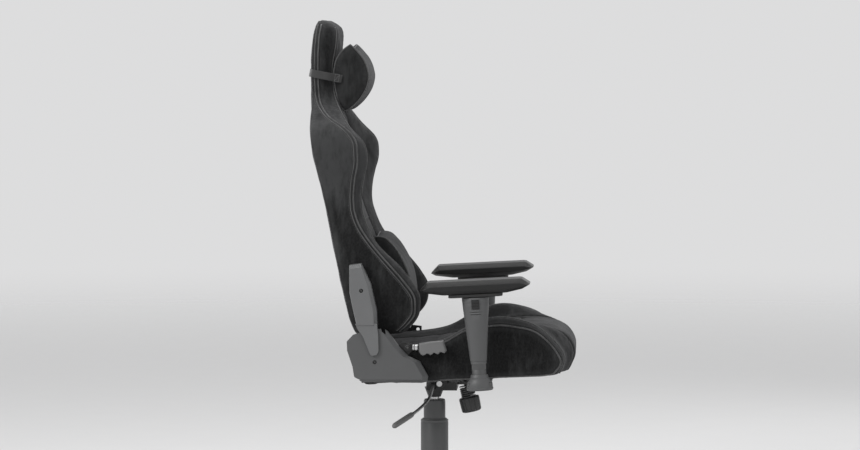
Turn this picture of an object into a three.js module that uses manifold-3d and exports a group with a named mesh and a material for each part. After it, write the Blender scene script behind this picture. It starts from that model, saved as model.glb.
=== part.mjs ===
// Gaming chair: a bucket seat and a reclining back on a tilting mechanism, with
// height-adjustable arms, a gas spring and a five-leg castor base.
// Units are millimetres. The chair faces -Y, the sitter's left is +X and +Z is up.
// The origin is on the floor, on the axis of the gas spring.
import * as THREE from 'three';
import { mergeVertices } from 'three/addons/utils/BufferGeometryUtils.js';
import Module from 'manifold-3d';

const wasm = await Module();
wasm.setup();

// ---------------------------------------------------------------- driving dimensions
const GAP = 0.4;                    // clearance left between neighbouring pieces
const SEAT_PITCH = 3;               // degrees that the seat is raised at the front
const PITCH_HEIGHT = 400;           // height of the line that the seat is pitched about

const LEG_COUNT = 5;
const CASTER_CIRCLE = 320;          // radius of the circle of caster stems
const WHEEL_RADIUS = 30;
const WHEEL_WIDTH = 20;
const CASTER_TRAIL = 20;            // from the stem to the wheels' axle
const CASTER_TURNS = [100, 75, 125, 90, 60];   // how far each caster is turned from its leg

const TUBE_RADIUS = 25;             // outer tube of the gas spring
const PISTON_RADIUS = 13;
const HUB_TOP = 128;
const COLUMN_TOP = 354;

const TILT_AXLE = { y: -15, z: 399, radius: 7.3 };
const RECLINE_PIVOT = { y: 133, z: 472, radius: 6 };
const LEVER_PIVOT = { y: 54, z: 507, radius: 4 };

const ARM_X = 330;                  // arm post, from the middle of the chair
const ARM_Y = -124;
const PAD_X = 318;
const PLATE_X = PAD_X + 3;
const PAD_HALF_WIDTH = 49;

const SEAT_HALF_WIDTH = 258;
const SEAT_UNDERSIDE = 421;
const PIN_SEGMENTS = 16;

const METAL = { roughness: 0.35, metalness: 0.9 };
const PLASTIC = { roughness: 0.55, metalness: 0 };
const SOFT = { roughness: 0.95, metalness: 0 };
const FINISH = {
  suede: { color: 0x2b2b2d, ...SOFT },
  suedePillow: { color: 0x333335, ...SOFT },
  webbing: { color: 0x4a4a4c, ...SOFT },
  dustCloth: { color: 0x1b1b1c, ...SOFT },
  blackPlastic: { color: 0x1f1f21, ...PLASTIC },
  greyPlastic: { color: 0x6c6c72, ...PLASTIC },
  padFoam: { color: 0x3a3a3c, roughness: 0.8, metalness: 0 },
  tread: { color: 0x2a2a2a, roughness: 0.7, metalness: 0 },
  blackSteel: { color: 0x2e2e30, roughness: 0.5, metalness: 0.6 },
  greyPaint: { color: 0x77777d, roughness: 0.45, metalness: 0.3 },
  brightSteel: { color: 0xb8b8bc, ...METAL },
};

// ---------------------------------------------------------------- shape helpers
const radians = (degrees) => THREE.MathUtils.degToRad(degrees);

// Positions only, shared vertices merged, collapsed triangles dropped.
function weld(geometry) {
  const bare = new THREE.BufferGeometry();
  bare.setAttribute('position', geometry.attributes.position.clone());
  bare.setIndex(geometry.index);
  const merged = mergeVertices(bare, 1e-3);
  const old = merged.index.array;
  const kept = [];
  for (let i = 0; i < old.length; i += 3) {
    const [a, b, c] = [old[i], old[i + 1], old[i + 2]];
    if (a !== b && b !== c && c !== a) kept.push(a, b, c);
  }
  merged.setIndex(kept);
  return merged;
}

function signedVolume(geometry) {
  const position = geometry.attributes.position;
  const corner = [0, 1, 2].map(() => new THREE.Vector3());
  const index = geometry.index.array;
  let sum = 0;
  for (let i = 0; i < index.length; i += 3) {
    corner.forEach((point, k) => point.fromBufferAttribute(position, index[i + k]));
    sum += corner[0].dot(corner[1].clone().cross(corner[2]));
  }
  return sum / 6;
}

// A closed body whose faces point outwards.
function solid(geometry) {
  const body = weld(geometry);
  if (signedVolume(body) < 0) {
    const index = body.index.array;
    for (let i = 0; i < index.length; i += 3) {
      [index[i + 1], index[i + 2]] = [index[i + 2], index[i + 1]];
    }
  }
  return body;
}

function toManifold(geometry) {
  const body = solid(geometry);
  const vertProperties = new Float32Array(body.attributes.position.array);
  const triVerts = new Uint32Array(body.index.array);
  return new wasm.Manifold(new wasm.Mesh({ numProp: 3, vertProperties, triVerts }));
}

function toGeometry(manifold) {
  const mesh = manifold.getMesh();
  const geometry = new THREE.BufferGeometry();
  geometry.setAttribute('position', new THREE.BufferAttribute(mesh.vertProperties, 3));
  geometry.setIndex(new THREE.BufferAttribute(mesh.triVerts, 1));
  return geometry;
}

function join(...geometries) {
  return toGeometry(geometries.map(toManifold).reduce((sum, part) => sum.add(part)));
}

function cut(geometry, ...tools) {
  const solids = tools.map(toManifold);
  return toGeometry(solids.reduce((rest, tool) => rest.subtract(tool), toManifold(geometry)));
}

// A solid skinned over outlines of equal length. Each station is { at, outline }, and
// place(u, v, at) puts an outline point in space.
function loft(stations, place) {
  const first = stations[0].outline.map(([u, v]) => new THREE.Vector2(u, v));
  const clockwise = THREE.ShapeUtils.isClockWise(first);
  const rings = stations.map(({ outline }) => (clockwise ? [...outline].reverse() : outline));
  const count = rings[0].length;
  const positions = [];
  rings.forEach((ring, s) => ring.forEach(([u, v]) => positions.push(...place(u, v, stations[s].at))));
  const index = [];
  for (let s = 0; s < rings.length - 1; s += 1) {
    for (let i = 0; i < count; i += 1) {
      const a = s * count + i;
      const b = s * count + ((i + 1) % count);
      index.push(a, b, b + count, a, b + count, a + count);
    }
  }
  const lid = (ring) => THREE.ShapeUtils.triangulateShape(ring.map(([u, v]) => new THREE.Vector2(u, v)), []);
  const last = (rings.length - 1) * count;
  lid(rings[0]).forEach(([a, b, c]) => index.push(c, b, a));
  lid(rings[rings.length - 1]).forEach(([a, b, c]) => index.push(last + a, last + b, last + c));
  const geometry = new THREE.BufferGeometry();
  geometry.setAttribute('position', new THREE.Float32BufferAttribute(positions, 3));
  geometry.setIndex(index);
  return solid(geometry);
}

const acrossX = (stations) => loft(stations, (y, z, x) => [x, y, z]);
const upZ = (stations) => loft(stations, (x, y, z) => [x, y, z]);

// A plate whose outline [y, z] runs from x0 to x1.
function plate(outline, x0, x1) {
  return acrossX([x0, x1].sort((a, b) => a - b).map((at) => ({ at, outline })));
}

// A box from its lowest and highest corner.
function block([x0, y0, z0], [x1, y1, z1]) {
  const box = new THREE.BoxGeometry(x1 - x0, y1 - y0, z1 - z0);
  return box.translate((x0 + x1) / 2, (y0 + y1) / 2, (z0 + z1) / 2);
}

// A turned solid about Z from a profile of [radius, height].
function turned(profile, segments = 24) {
  const points = profile.map(([radius, height]) => new THREE.Vector2(radius, height));
  return solid(new THREE.LatheGeometry(points, segments, Math.PI / segments).rotateX(Math.PI / 2));
}

function ring(inner, outer, z0, z1, segments) {
  return turned([[inner, z0], [outer, z0], [outer, z1], [inner, z1], [inner, z0]], segments);
}

function pin(radius, z0, z1, segments = PIN_SEGMENTS) {
  return turned([[0, z0], [radius, z0], [radius, z1], [0, z1]], segments);
}

// A pin about a line along X, from x0 to x1.
function crossPin({ y, z }, radius, x0, x1, segments = PIN_SEGMENTS) {
  return pin(radius, Math.min(x0, x1), Math.max(x0, x1), segments).rotateY(Math.PI / 2).translate(0, y, z);
}

// A round bar along a smooth path.
function bar(points, radius, steps, sides = 8) {
  const knots = points.map(([x, y, z]) => new THREE.Vector3(x, y, z));
  const path = new THREE.CatmullRomCurve3(knots, false, 'centripetal');
  const corners = [];
  for (let i = 0; i < sides; i += 1) {
    const angle = (2 * Math.PI * i) / sides;
    corners.push(new THREE.Vector2(radius * Math.cos(angle), radius * Math.sin(angle)));
  }
  const section = new THREE.Shape(corners);
  return solid(new THREE.ExtrudeGeometry(section, { extrudePath: path, steps, bevelEnabled: false }));
}

// Two outlines of equal length mixed by t, and one outline shrunk towards a middle.
function blend(from, to, t) {
  return from.map(([u, v], i) => [u + (to[i][0] - u) * t, v + (to[i][1] - v) * t]);
}

function shrink(outline, [u0, v0], scale) {
  return outline.map(([u, v]) => [u0 + (u - u0) * scale, v0 + (v - v0) * scale]);
}

function piece(name, finish, geometry) {
  const mesh = new THREE.Mesh(geometry, new THREE.MeshStandardMaterial(finish));
  mesh.name = name;
  return mesh;
}

// The same point in the pitched frame of the seat.
function inSeat({ y, z }) {
  const tilt = radians(SEAT_PITCH);
  const rise = z - PITCH_HEIGHT;
  return {
    y: y * Math.cos(tilt) - rise * Math.sin(tilt),
    z: PITCH_HEIGHT + y * Math.sin(tilt) + rise * Math.cos(tilt),
  };
}

// ---------------------------------------------------------------- base and casters
function baseLeg(angle) {
  const stations = [
    { at: 32, half: 25, low: 82, high: 122 },
    { at: 110, half: 23, low: 82, high: 117 },
    { at: 220, half: 19, low: 77, high: 105 },
    { at: 318, half: 16, low: 71, high: 95 },
  ].map(({ at, half, low, high }) => ({
    at,
    outline: [
      [-0.8 * half, low], [0.8 * half, low], [half, low + 6], [half, high - 9],
      [0.6 * half, high], [-0.6 * half, high], [-half, high - 9], [-half, low + 6],
    ],
  }));
  const [c, s] = [Math.cos(angle), Math.sin(angle)];
  return loft(stations, (u, v, r) => [r * c - u * s, r * s + u * c, v]);
}

const SOCKET = { radius: 5.9, from: 60, top: 93 };

function baseStar() {
  const hub = turned([
    [TUBE_RADIUS + GAP, 74], [38, 74], [44, 100], [41, 122], [37, HUB_TOP],
    [TUBE_RADIUS + GAP, HUB_TOP], [TUBE_RADIUS + GAP, 74],
  ], 24);
  const legs = [];
  const sockets = [];
  for (let i = 0; i < LEG_COUNT; i += 1) {
    const angle = radians(90 + (360 / LEG_COUNT) * i);
    const [x, y] = [CASTER_CIRCLE * Math.cos(angle), CASTER_CIRCLE * Math.sin(angle)];
    legs.push(baseLeg(angle));
    legs.push(turned([[0, 70], [18, 70], [19, 92], [14, 98], [0, 98]], 12).translate(x, y, 0));
    sockets.push(pin(SOCKET.radius, SOCKET.from, SOCKET.top, 8).translate(x, y, 0));
  }
  return piece('base_star', FINISH.blackPlastic, cut(join(hub, ...legs), ...sockets));
}

function casterHood(name) {
  const arch = [];
  const steps = 8;
  const reach = 112;                // degrees of arch on each side of the top
  for (let i = 0; i <= steps; i += 1) {
    const angle = radians(90 + reach - (2 * reach * i) / steps);
    arch.push([34.5 * Math.cos(angle), 34.5 * Math.sin(angle)]);
  }
  for (let i = steps; i >= 0; i -= 1) {
    const angle = radians(90 + reach - (2 * reach * i) / steps);
    arch.push([31.6 * Math.cos(angle), 31.6 * Math.sin(angle)]);
  }
  const wide = WHEEL_WIDTH + 6;
  const aboutAxle = (stations) => loft(stations, (u, v, at) => [u + CASTER_TRAIL, at, v + WHEEL_RADIUS]);
  const fender = aboutAxle([{ at: -wide, outline: arch }, { at: wide, outline: arch }]);
  const boss = turned([[0, 52], [9, 52], [10, 66], [8, 69.6], [0, 69.6]], 12);
  const onAxle = (round) => round.rotateX(Math.PI / 2).translate(CASTER_TRAIL, 0, WHEEL_RADIUS);
  const wheelRoom = onAxle(pin(31.4, -wide - 5, wide + 5, 20));
  const web = onAxle(pin(32.1, -4.6, 4.6, 16));
  const floorCut = block([-60, -20, -20], [60, 20, 9]);
  const axle = onAxle(pin(4, -20, 20, 8));
  const stem = pin(5.4, 60, 91, 8);
  const shell = cut(join(fender, boss), wheelRoom);
  return piece(name, FINISH.blackPlastic, join(shell, cut(web, floorCut), axle, stem));
}

// One wheel of a twin caster: side -1 or 1 says on which end of the axle it turns.
function casterWheel(name, side) {
  const segments = 16;
  const radius = WHEEL_RADIUS / Math.cos(Math.PI / segments);
  const bore = 4 + GAP;
  const profile = [
    [0, 0], [radius * 0.7, 0], [radius, 3], [radius, WHEEL_WIDTH - 2],
    [bore, WHEEL_WIDTH], [bore, 5], [0, 5],
  ];
  const wheel = turned(profile, segments).rotateX(side * Math.PI / 2);
  wheel.translate(CASTER_TRAIL, side * (WHEEL_WIDTH + 5.3), WHEEL_RADIUS);
  return piece(name, FINISH.tread, solid(wheel));
}

function caster(number) {
  const group = new THREE.Group();
  const angle = radians(90 + (360 / LEG_COUNT) * (number - 1));
  group.position.set(CASTER_CIRCLE * Math.cos(angle), CASTER_CIRCLE * Math.sin(angle), 0);
  group.rotation.z = angle + radians(CASTER_TURNS[number - 1]);
  group.add(casterHood(`caster_hood_${number}`));
  group.add(casterWheel(`caster_wheel_${number}_a`, 1));
  group.add(casterWheel(`caster_wheel_${number}_b`, -1));
  return group;
}

// ---------------------------------------------------------------- gas spring and its covers
const PIN_WELL = 370;
const PISTON_TOP = 386;

function gasSpring() {
  const tube = turned([
    [0, 60], [20, 60], [TUBE_RADIUS, 66], [TUBE_RADIUS, 285],
    [PISTON_RADIUS + GAP, 285], [PISTON_RADIUS + GAP, 78], [0, 78],
  ]);
  const piston = turned([
    [0, 130], [PISTON_RADIUS, 130], [PISTON_RADIUS, 372], [12.2, PISTON_TOP],
    [4 + GAP, PISTON_TOP], [4 + GAP, PIN_WELL], [0, PIN_WELL],
  ]);
  return [
    piece('gas_spring_tube', FINISH.blackSteel, tube),
    piece('gas_spring_piston', FINISH.brightSteel, piston),
    piece('gas_release_pin', FINISH.brightSteel, pin(4, 374, 391, 12)),
  ];
}

function columnCovers() {
  const upper = turned([
    [25.7, 176], [27.2, 176], [27.2, 350], [24.5, COLUMN_TOP], [PISTON_RADIUS + GAP, COLUMN_TOP],
    [PISTON_RADIUS + GAP, 351], [25.7, 351], [25.7, 176],
  ], 30);
  return [
    piece('column_cover_upper', FINISH.greyPlastic, upper),
    piece('column_cover_middle', FINISH.greyPlastic, ring(28.8, 31, 152, 305.5, 30)),
    piece('column_cover_lower', FINISH.greyPlastic, ring(32.2, 34.5, HUB_TOP + GAP, 303, 30)),
  ];
}

// ---------------------------------------------------------------- tilt mechanism and levers
const ROD_HEIGHT = 395.4;           // middle of the height lever inside the housing
const HOUSING = { x: 62, y0: -58, y1: 18, z0: 381, z1: 401 };

function mechanismHousing() {
  const { x, y0, y1, z0, z1 } = HOUSING;
  const pan = block([-x, y0, z0], [x, y1, z1]);
  const cone = turned([[0, 360], [16, 360], [25, 384], [0, 384]], 24);
  const wing = block([-30, -112, 393], [30, y0 + 1, 400]);
  const axleBoss = crossPin(TILT_AXLE, 13, -x, x);
  const bore = pin(PISTON_RADIUS + GAP, 350, PISTON_TOP + GAP, 24);
  const leverSlot = block([-x - 5, -6.6, PISTON_TOP], [12, 6.6, 415]);
  const axleBore = crossPin(TILT_AXLE, TILT_AXLE.radius + GAP, -x - 5, x + 5);
  const boltBore = knobAxis(pin(6, -30, 30));
  return piece('mechanism_housing', FINISH.blackSteel,
    cut(join(pan, cone, wing, axleBoss), bore, leverSlot, axleBore, boltBore));
}

// The tension bolt leans forward at its lower end; heights are measured along it.
function knobAxis(geometry) {
  return geometry.rotateX(radians(-12.5)).translate(0, -78.4, 393);
}

function tensionKnob() {
  const ribs = 12;
  const outline = (radius) => {
    const points = [];
    for (let i = 0; i < 2 * ribs; i += 1) {
      const r = i % 2 ? radius - 1.6 : radius;
      points.push([r * Math.cos((Math.PI * i) / ribs), r * Math.sin((Math.PI * i) / ribs)]);
    }
    return points;
  };
  const grip = upZ([
    { at: -72, outline: outline(20) },
    { at: -68, outline: outline(25) },
    { at: -38, outline: outline(26) },
    { at: -34, outline: outline(23) },
  ]);
  return piece('tension_knob', FINISH.blackPlastic, knobAxis(join(grip, pin(5, -40, 10))));
}

function mechanism() {
  const axle = crossPin(TILT_AXLE, TILT_AXLE.radius, -76, 76);
  const spring = knobAxis(ring(6, 19, -33.4, -5, 20));
  return [
    mechanismHousing(),
    piece('tilt_axle', FINISH.brightSteel, axle),
    piece('tension_spring', FINISH.blackSteel, spring),
    tensionKnob(),
  ];
}

function leverBush() {
  const body = block([-64, -6.2, 389.2], [-44, 6.2, 401.4]);
  const flange = pin(6.7, 0, 3, 16).rotateY(Math.PI / 2).translate(-65.4, 0, ROD_HEIGHT);
  const bore = pin(4.9, -30, 30, 12).rotateY(Math.PI / 2).translate(-55, 0, ROD_HEIGHT);
  return piece('lever_bush', FINISH.blackPlastic, cut(join(body, flange), bore));
}

function heightLever() {
  const route = [
    [8, 0, ROD_HEIGHT], [-40, 0, ROD_HEIGHT], [-66, 0, ROD_HEIGHT], [-78, 1, 391], [-90, 7, 371],
    [-104, 13, 360], [-150, 27, 348], [-200, 46, 336], [-262, 87, 314],
  ];
  const gripRoute = route.slice(-2).map(([x, y, z]) => [x, y, z]);
  gripRoute[1] = [-266, 89.6, 312.6];
  const rod = bar(route, 4, 20);
  const socket = bar(route, 4.5, 20);
  const grip = cut(bar([[-196, 44.5, 337], ...gripRoute], 6.8, 4, 10), socket);
  return [
    piece('height_lever_rod', FINISH.brightSteel, rod),
    piece('height_lever_grip', FINISH.blackPlastic, grip),
  ];
}

// ---------------------------------------------------------------- seat
const SEAT_CENTRE = [
  [160, SEAT_UNDERSIDE], [172, 455], [165, 490], [120, 497], [40, 497], [-60, 505],
  [-160, 523], [-225, 535], [-300, 530], [-340, 512], [-359, 470], [-339, SEAT_UNDERSIDE],
];
const SEAT_CREST = [
  [160, SEAT_UNDERSIDE], [172, 455], [165, 492], [120, 505], [10, 512], [-40, 521],
  [-95, 548], [-155, 569], [-205, 566], [-270, 540], [-330, 470], [-318, SEAT_UNDERSIDE],
];
const SEAT_SIDE = [
  [160, SEAT_UNDERSIDE], [172, 455], [165, 488], [120, 500], [10, 503], [-41, 518],
  [-92, 543], [-158, 551], [-198, 549], [-270, 527], [-323, 456], [-300, SEAT_UNDERSIDE],
];

function seatCushion() {
  const half = [
    { x: 0, outline: SEAT_CENTRE },
    { x: 130, outline: SEAT_CENTRE },
    { x: 165, outline: blend(SEAT_CENTRE, SEAT_CREST, 0.35) },
    { x: 198, outline: blend(SEAT_CENTRE, SEAT_CREST, 0.85) },
    { x: 224, outline: SEAT_CREST },
    { x: 248, outline: blend(SEAT_CREST, SEAT_SIDE, 0.6) },
    { x: SEAT_HALF_WIDTH, outline: SEAT_SIDE },
  ];
  const right = half.slice(1).reverse().map(({ x, outline }) => ({ at: -x, outline }));
  const left = half.map(({ x, outline }) => ({ at: x, outline }));
  const pocket = block([-216, -286, 400], [216, 136, 447]);
  const crossTubeRoom = block([-270, 96, 400], [270, 126, 447]);
  return piece('seat_cushion', FINISH.suede, cut(acrossX([...right, ...left]), pocket, crossTubeRoom));
}

function seatFrame() {
  const pivot = inSeat(RECLINE_PIVOT);
  const lever = inSeat(LEVER_PIVOT);
  const rails = [
    block([-210, -280, 425], [-190, 120, 443]),
    block([190, -280, 425], [210, 120, 443]),
    block([-200, -280, 425], [200, -262, 443]),
    block([-200, -150, 425], [200, -98, 430]),
    block([-200, -20, 425], [200, 32, 430]),
    block([-263, 99, 425], [263, 123, 443]),
  ];
  const bracket = [
    [165, 428], [168, 470], [150, 500], [118, 506], [78, 506], [62, lever.z + 12],
    [lever.y - 10, lever.z + 8], [lever.y - 9, lever.z - 10], [60, 478], [60, 428],
  ];
  const plates = [-1, 1].map((side) => cut(
    plate(bracket, side * 262, side * 266),
    crossPin(pivot, RECLINE_PIVOT.radius + GAP, side * 255, side * 275),
    crossPin(lever, LEVER_PIVOT.radius + GAP, side * 255, side * 275),
  ));
  return piece('seat_frame', FINISH.blackSteel, join(...rails, ...plates));
}

function topPlate() {
  const axle = inSeat(TILT_AXLE);
  const flat = block([-100, -90, 415.4], [100, 82, 420.4]);
  const flange = [
    [axle.y - 19, 418], [axle.y + 7.5, 418], [axle.y + 7.5, axle.z - 4],
    [axle.y + 3, axle.z - 11], [axle.y - 6, axle.z - 11], [axle.y - 19, axle.z + 2],
  ];
  const flanges = [-1, 1].map((side) => plate(flange, side * 66.5, side * 71));
  const bore = crossPin(axle, TILT_AXLE.radius + GAP, -80, 80);
  return piece('mechanism_top_plate', FINISH.blackSteel, cut(join(flat, ...flanges), bore));
}

function seatDustCover() {
  return piece('seat_dust_cover', FINISH.dustCloth, block([-215, -285, 421.6], [215, 94, 423.6]));
}

// ---------------------------------------------------------------- arms
const POST = { along: 17.5, across: 13.6 };
const SLEEVE_BOTTOM = 466.7;
const SLEEVE_TOP = 627.4;
const PLATE_TOP = 636.4;

// A turned shape squeezed across the chair into an oval.
function oval(profile, segments = 20) {
  const squeeze = POST.across / POST.along;
  return turned(profile, segments).scale(squeeze, 1, 1);
}

function ovalPin(radius, z0, z1) {
  return oval([[0, z0], [radius, z0], [radius, z1], [0, z1]]);
}

function armBracket(side) {
  const strap = block([112, ARM_Y - 28, 414.6], [ARM_X + 14, ARM_Y + 28, 420.4]);
  const upright = ovalPin(POST.along, 417, 600).translate(ARM_X, ARM_Y, 0);
  const bracket = join(strap, upright);
  return sidedPiece('arm_bracket', FINISH.greyPaint, bracket, side);
}

function armFoot(side) {
  const foot = oval([
    [0, 402.6], [31, 402.6], [32.5, 407], [31, 420], [24, 432], [20, 440.5], [0, 440.5],
  ]).translate(ARM_X, ARM_Y, 0);
  const postRoom = ovalPin(POST.along + GAP, 410, 460).translate(ARM_X, ARM_Y, 0);
  const strapRoom = block([250, ARM_Y - 28.4, 414.2], [ARM_X + 14.4, ARM_Y + 28.4, 420.8]);
  return sidedPiece('arm_foot', FINISH.greyPlastic, cut(foot, postRoom, strapRoom), side);
}

const BUTTON = { halfWidth: 9, low: 600, high: 622, reach: 30.5 };

function armSleeve(side) {
  const sleeve = oval([
    [0, SLEEVE_BOTTOM], [19, SLEEVE_BOTTOM], [20, 474], [31.5, 606], [32.5, SLEEVE_TOP], [0, SLEEVE_TOP],
  ]).translate(ARM_X, ARM_Y, 0);
  const bore = ovalPin(POST.along + GAP, SLEEVE_BOTTOM - 10, 620).translate(ARM_X, ARM_Y, 0);
  const { halfWidth, low, high } = BUTTON;
  const window = block(
    [ARM_X + 12, ARM_Y - halfWidth - GAP, low - GAP],
    [ARM_X + 40, ARM_Y + halfWidth + GAP, high + GAP],
  );
  return sidedPiece('arm_sleeve', FINISH.greyPlastic, cut(sleeve, bore, window), side);
}

function armButton(side) {
  const { halfWidth, low, high, reach } = BUTTON;
  const body = block([ARM_X + 18.4, ARM_Y - halfWidth, low], [ARM_X + reach - 4, ARM_Y + halfWidth, high]);
  const ridges = [0, 1, 2].map((i) => block(
    [ARM_X + reach - 5, ARM_Y - halfWidth + 1.5, low + 2 + 7 * i],
    [ARM_X + reach - 2.5, ARM_Y + halfWidth - 1.5, low + 6 + 7 * i],
  ));
  return sidedPiece('arm_button', FINISH.blackPlastic, join(body, ...ridges), side);
}

function padPlate(side) {
  const outline = [[36, -60], [30, -66], [-30, -66], [-36, -60], [-36, 56], [-28, 64], [28, 64], [36, 56]];
  const placed = outline.map(([x, y]) => [PLATE_X + x, ARM_Y + y]);
  const disc = pin(24, SLEEVE_TOP + GAP, 630, 24).translate(ARM_X, ARM_Y, 0);
  const body = join(upZ([{ at: 629, outline: placed }, { at: PLATE_TOP, outline: placed }]), disc);
  return sidedPiece('pad_swivel_plate', FINISH.blackPlastic, body, side);
}

function armPad(side) {
  const profile = [
    [8, 651], [-11, 669.5], [-236, 669.5], [-258, 655], [-238, 644],
    [-200, PLATE_TOP + GAP], [-50, PLATE_TOP + GAP], [-4, 644],
  ];
  const middle = [-125, 652];
  const edge = profile.map(([y, z]) => [
    middle[0] + (y - middle[0]) * 0.95,
    middle[1] + (z - middle[1]) * 0.35,
  ]);
  const pad = acrossX([
    { at: PAD_X - PAD_HALF_WIDTH, outline: edge },
    { at: PAD_X - PAD_HALF_WIDTH + 12, outline: profile },
    { at: PAD_X + PAD_HALF_WIDTH - 12, outline: profile },
    { at: PAD_X + PAD_HALF_WIDTH, outline: edge },
  ]);
  return sidedPiece('arm_pad', FINISH.padFoam, pad, side);
}

function arm(side) {
  return [armBracket(side), armFoot(side), armSleeve(side), armButton(side), padPlate(side), armPad(side)];
}

function sideName(side) {
  return side > 0 ? 'left' : 'right';
}

// A piece made on the left and mirrored for the right: side is 1 or -1.
function sidedPiece(name, finish, geometry, side) {
  return piece(`${name}_${sideName(side)}`, finish, solid(geometry.scale(side, 1, 1)));
}

// ---------------------------------------------------------------- hinge covers and recline lever
const LOWER_COVER = [
  [199, 522], [198, 500], [185, 461], [181, 436], [164, 422], [20, 421], [6, 424], [4, 437],
  [24, 473], [52, 486], [74, 509], [88, 528], [102, 546], [116, 556], [150, 554], [185, 541],
];
const UPPER_COVER = [
  [195, 707], [166, 711], [143, 662], [128, 595], [127, 562], [177, 562], [186, 600], [194, 640],
];
const TONGUE = [
  [180, 566], [127, 566], [124, 536], [123, 499], [128, 490], [140, 488], [144, 492], [162, 536], [174, 552],
];

// The lower cover is a shell that is open behind, at the top and towards the seat.
function lowerHingeCover(side) {
  const face = LOWER_COVER.map(([y, z]) => {
    const towardsBack = y < 110 ? 13 : 2;
    return [y + towardsBack, Math.max(z, 430) - (z > 540 ? 4 : 0)];
  });
  const body = acrossX([
    { at: 267, outline: LOWER_COVER },
    { at: 278, outline: LOWER_COVER },
    { at: 290, outline: face },
  ]);
  const hollow = plate([
    [240, 600], [240, 428], [30, 428], [42, 460], [66, 478], [88, 504], [104, 524], [116, 600],
  ], 260, 286.5);
  const recess = crossPin(RECLINE_PIVOT, 5, 288, 300, 12);
  return sidedPiece('hinge_cover_lower', FINISH.greyPlastic, cut(body, hollow, recess), side);
}

// The upper cover is a shell over the back's bracket, with a tongue over the lower cover.
function upperHingeCover(side) {
  const face = UPPER_COVER.map(([y, z]) => [y + (y < 150 ? 8 : -2), z - (z > 700 ? 8 : 0)]);
  const body = acrossX([
    { at: 261, outline: UPPER_COVER },
    { at: 290, outline: UPPER_COVER },
    { at: 300, outline: face },
  ]);
  const hollow = plate([
    [188, 699], [170, 702], [150, 662], [134, 595], [132, 540], [172, 540], [180, 600], [188, 640],
  ], 255, 291);
  const recess = crossPin({ y: 165, z: 646 }, 5, 297, 310, 12);
  const shell = cut(join(cut(body, hollow), plate(TONGUE, 292, 298)), recess);
  return sidedPiece('hinge_cover_upper', FINISH.greyPlastic, shell, side);
}

function reclinePin(side) {
  const shank = crossPin(RECLINE_PIVOT, RECLINE_PIVOT.radius, 260, 274);
  const head = crossPin(RECLINE_PIVOT, 10, 272.5, 276.5);
  return sidedPiece('recline_pin', FINISH.brightSteel, join(shank, head), side);
}

function reclineLever() {
  const { y, z } = LEVER_PIVOT;
  const flat = plate([[y + 7, z - 7], [y + 7, z + 7], [y - 25, z + 6], [y - 25, z - 4]], -268, -273);
  const boss = crossPin(LEVER_PIVOT, 9, -266.5, -276);
  const bolt = crossPin(LEVER_PIVOT, LEVER_PIVOT.radius, -260, -270);
  const ferrule = pin(8, y - 26, y - 14, 12).rotateX(-Math.PI / 2).translate(-276, 0, z);
  const tang = block([-278, y - 70, z - 4], [-271, y - 20, z + 4]);
  const grip = [
    [26, 496], [26, 518], [0, 521], [-33, 524], [-42, 499], [-36, 494], [-27, 497], [-19, 491],
    [-10, 495], [-2, 489], [8, 493], [17, 488],
  ];
  const core = shrink(grip, [-6, 506], 0.86);
  const shell = acrossX([
    { at: -289, outline: core },
    { at: -285, outline: grip },
    { at: -269, outline: grip },
    { at: -265, outline: core },
  ]);
  const room = block([-278 - GAP, y - 70 - GAP, z - 4 - GAP], [-271 + GAP, y - 20, z + 4 + GAP]);
  return [
    piece('recline_lever_arm', FINISH.blackSteel, join(flat, boss, bolt, ferrule, tang)),
    piece('recline_lever_grip', FINISH.greyPlastic, cut(shell, room)),
  ];
}

// ---------------------------------------------------------------- back
// Each level holds the half-width, and the Y of the rear, the side seam, the bolster and the middle.
const BACK_LEVELS = [
  { z: 534, half: 232, rear: 183, seam: 84, bolster: 74, middle: 112 },
  { z: 560, half: 250, rear: 194, seam: 54, bolster: 44, middle: 118 },
  { z: 590, half: 254, rear: 203, seam: 35, bolster: 28, middle: 126 },
  { z: 622, half: 254, rear: 210, seam: 36, bolster: 26, middle: 130 },
  { z: 660, half: 254, rear: 219, seam: 59, bolster: 44, middle: 134 },
  { z: 700, half: 252, rear: 227, seam: 94, bolster: 76, middle: 140 },
  { z: 754, half: 247, rear: 239, seam: 140, bolster: 133, middle: 152 },
  { z: 800, half: 242, rear: 248, seam: 172, bolster: 158, middle: 170 },
  { z: 858, half: 240, rear: 260, seam: 187, bolster: 172, middle: 190 },
  { z: 910, half: 250, rear: 272, seam: 184, bolster: 166, middle: 203 },
  { z: 960, half: 270, rear: 283, seam: 175, bolster: 154, middle: 212 },
  { z: 1003, half: 281, rear: 290, seam: 177, bolster: 162, middle: 219 },
  { z: 1037, half: 272, rear: 293, seam: 202, bolster: 195, middle: 224 },
  { z: 1064, half: 236, rear: 294, seam: 245, bolster: 214, middle: 229 },
  { z: 1090, half: 186, rear: 295, seam: 268, bolster: 231, middle: 235 },
  { z: 1115, half: 158, rear: 297, seam: 277, bolster: 242, middle: 243 },
  { z: 1140, half: 152, rear: 298, seam: 279, bolster: 246, middle: 246 },
  { z: 1175, half: 151, rear: 299, seam: 280, bolster: 249, middle: 248 },
  { z: 1240, half: 149, rear: 296, seam: 279, bolster: 240, middle: 240 },
  { z: 1268, half: 142, rear: 293, seam: 277, bolster: 238, middle: 237 },
  { z: 1290, half: 125, rear: 288, seam: 274, bolster: 248, middle: 247 },
  { z: 1301, half: 100, rear: 283, seam: 276, bolster: 266, middle: 270 },
];

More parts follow.
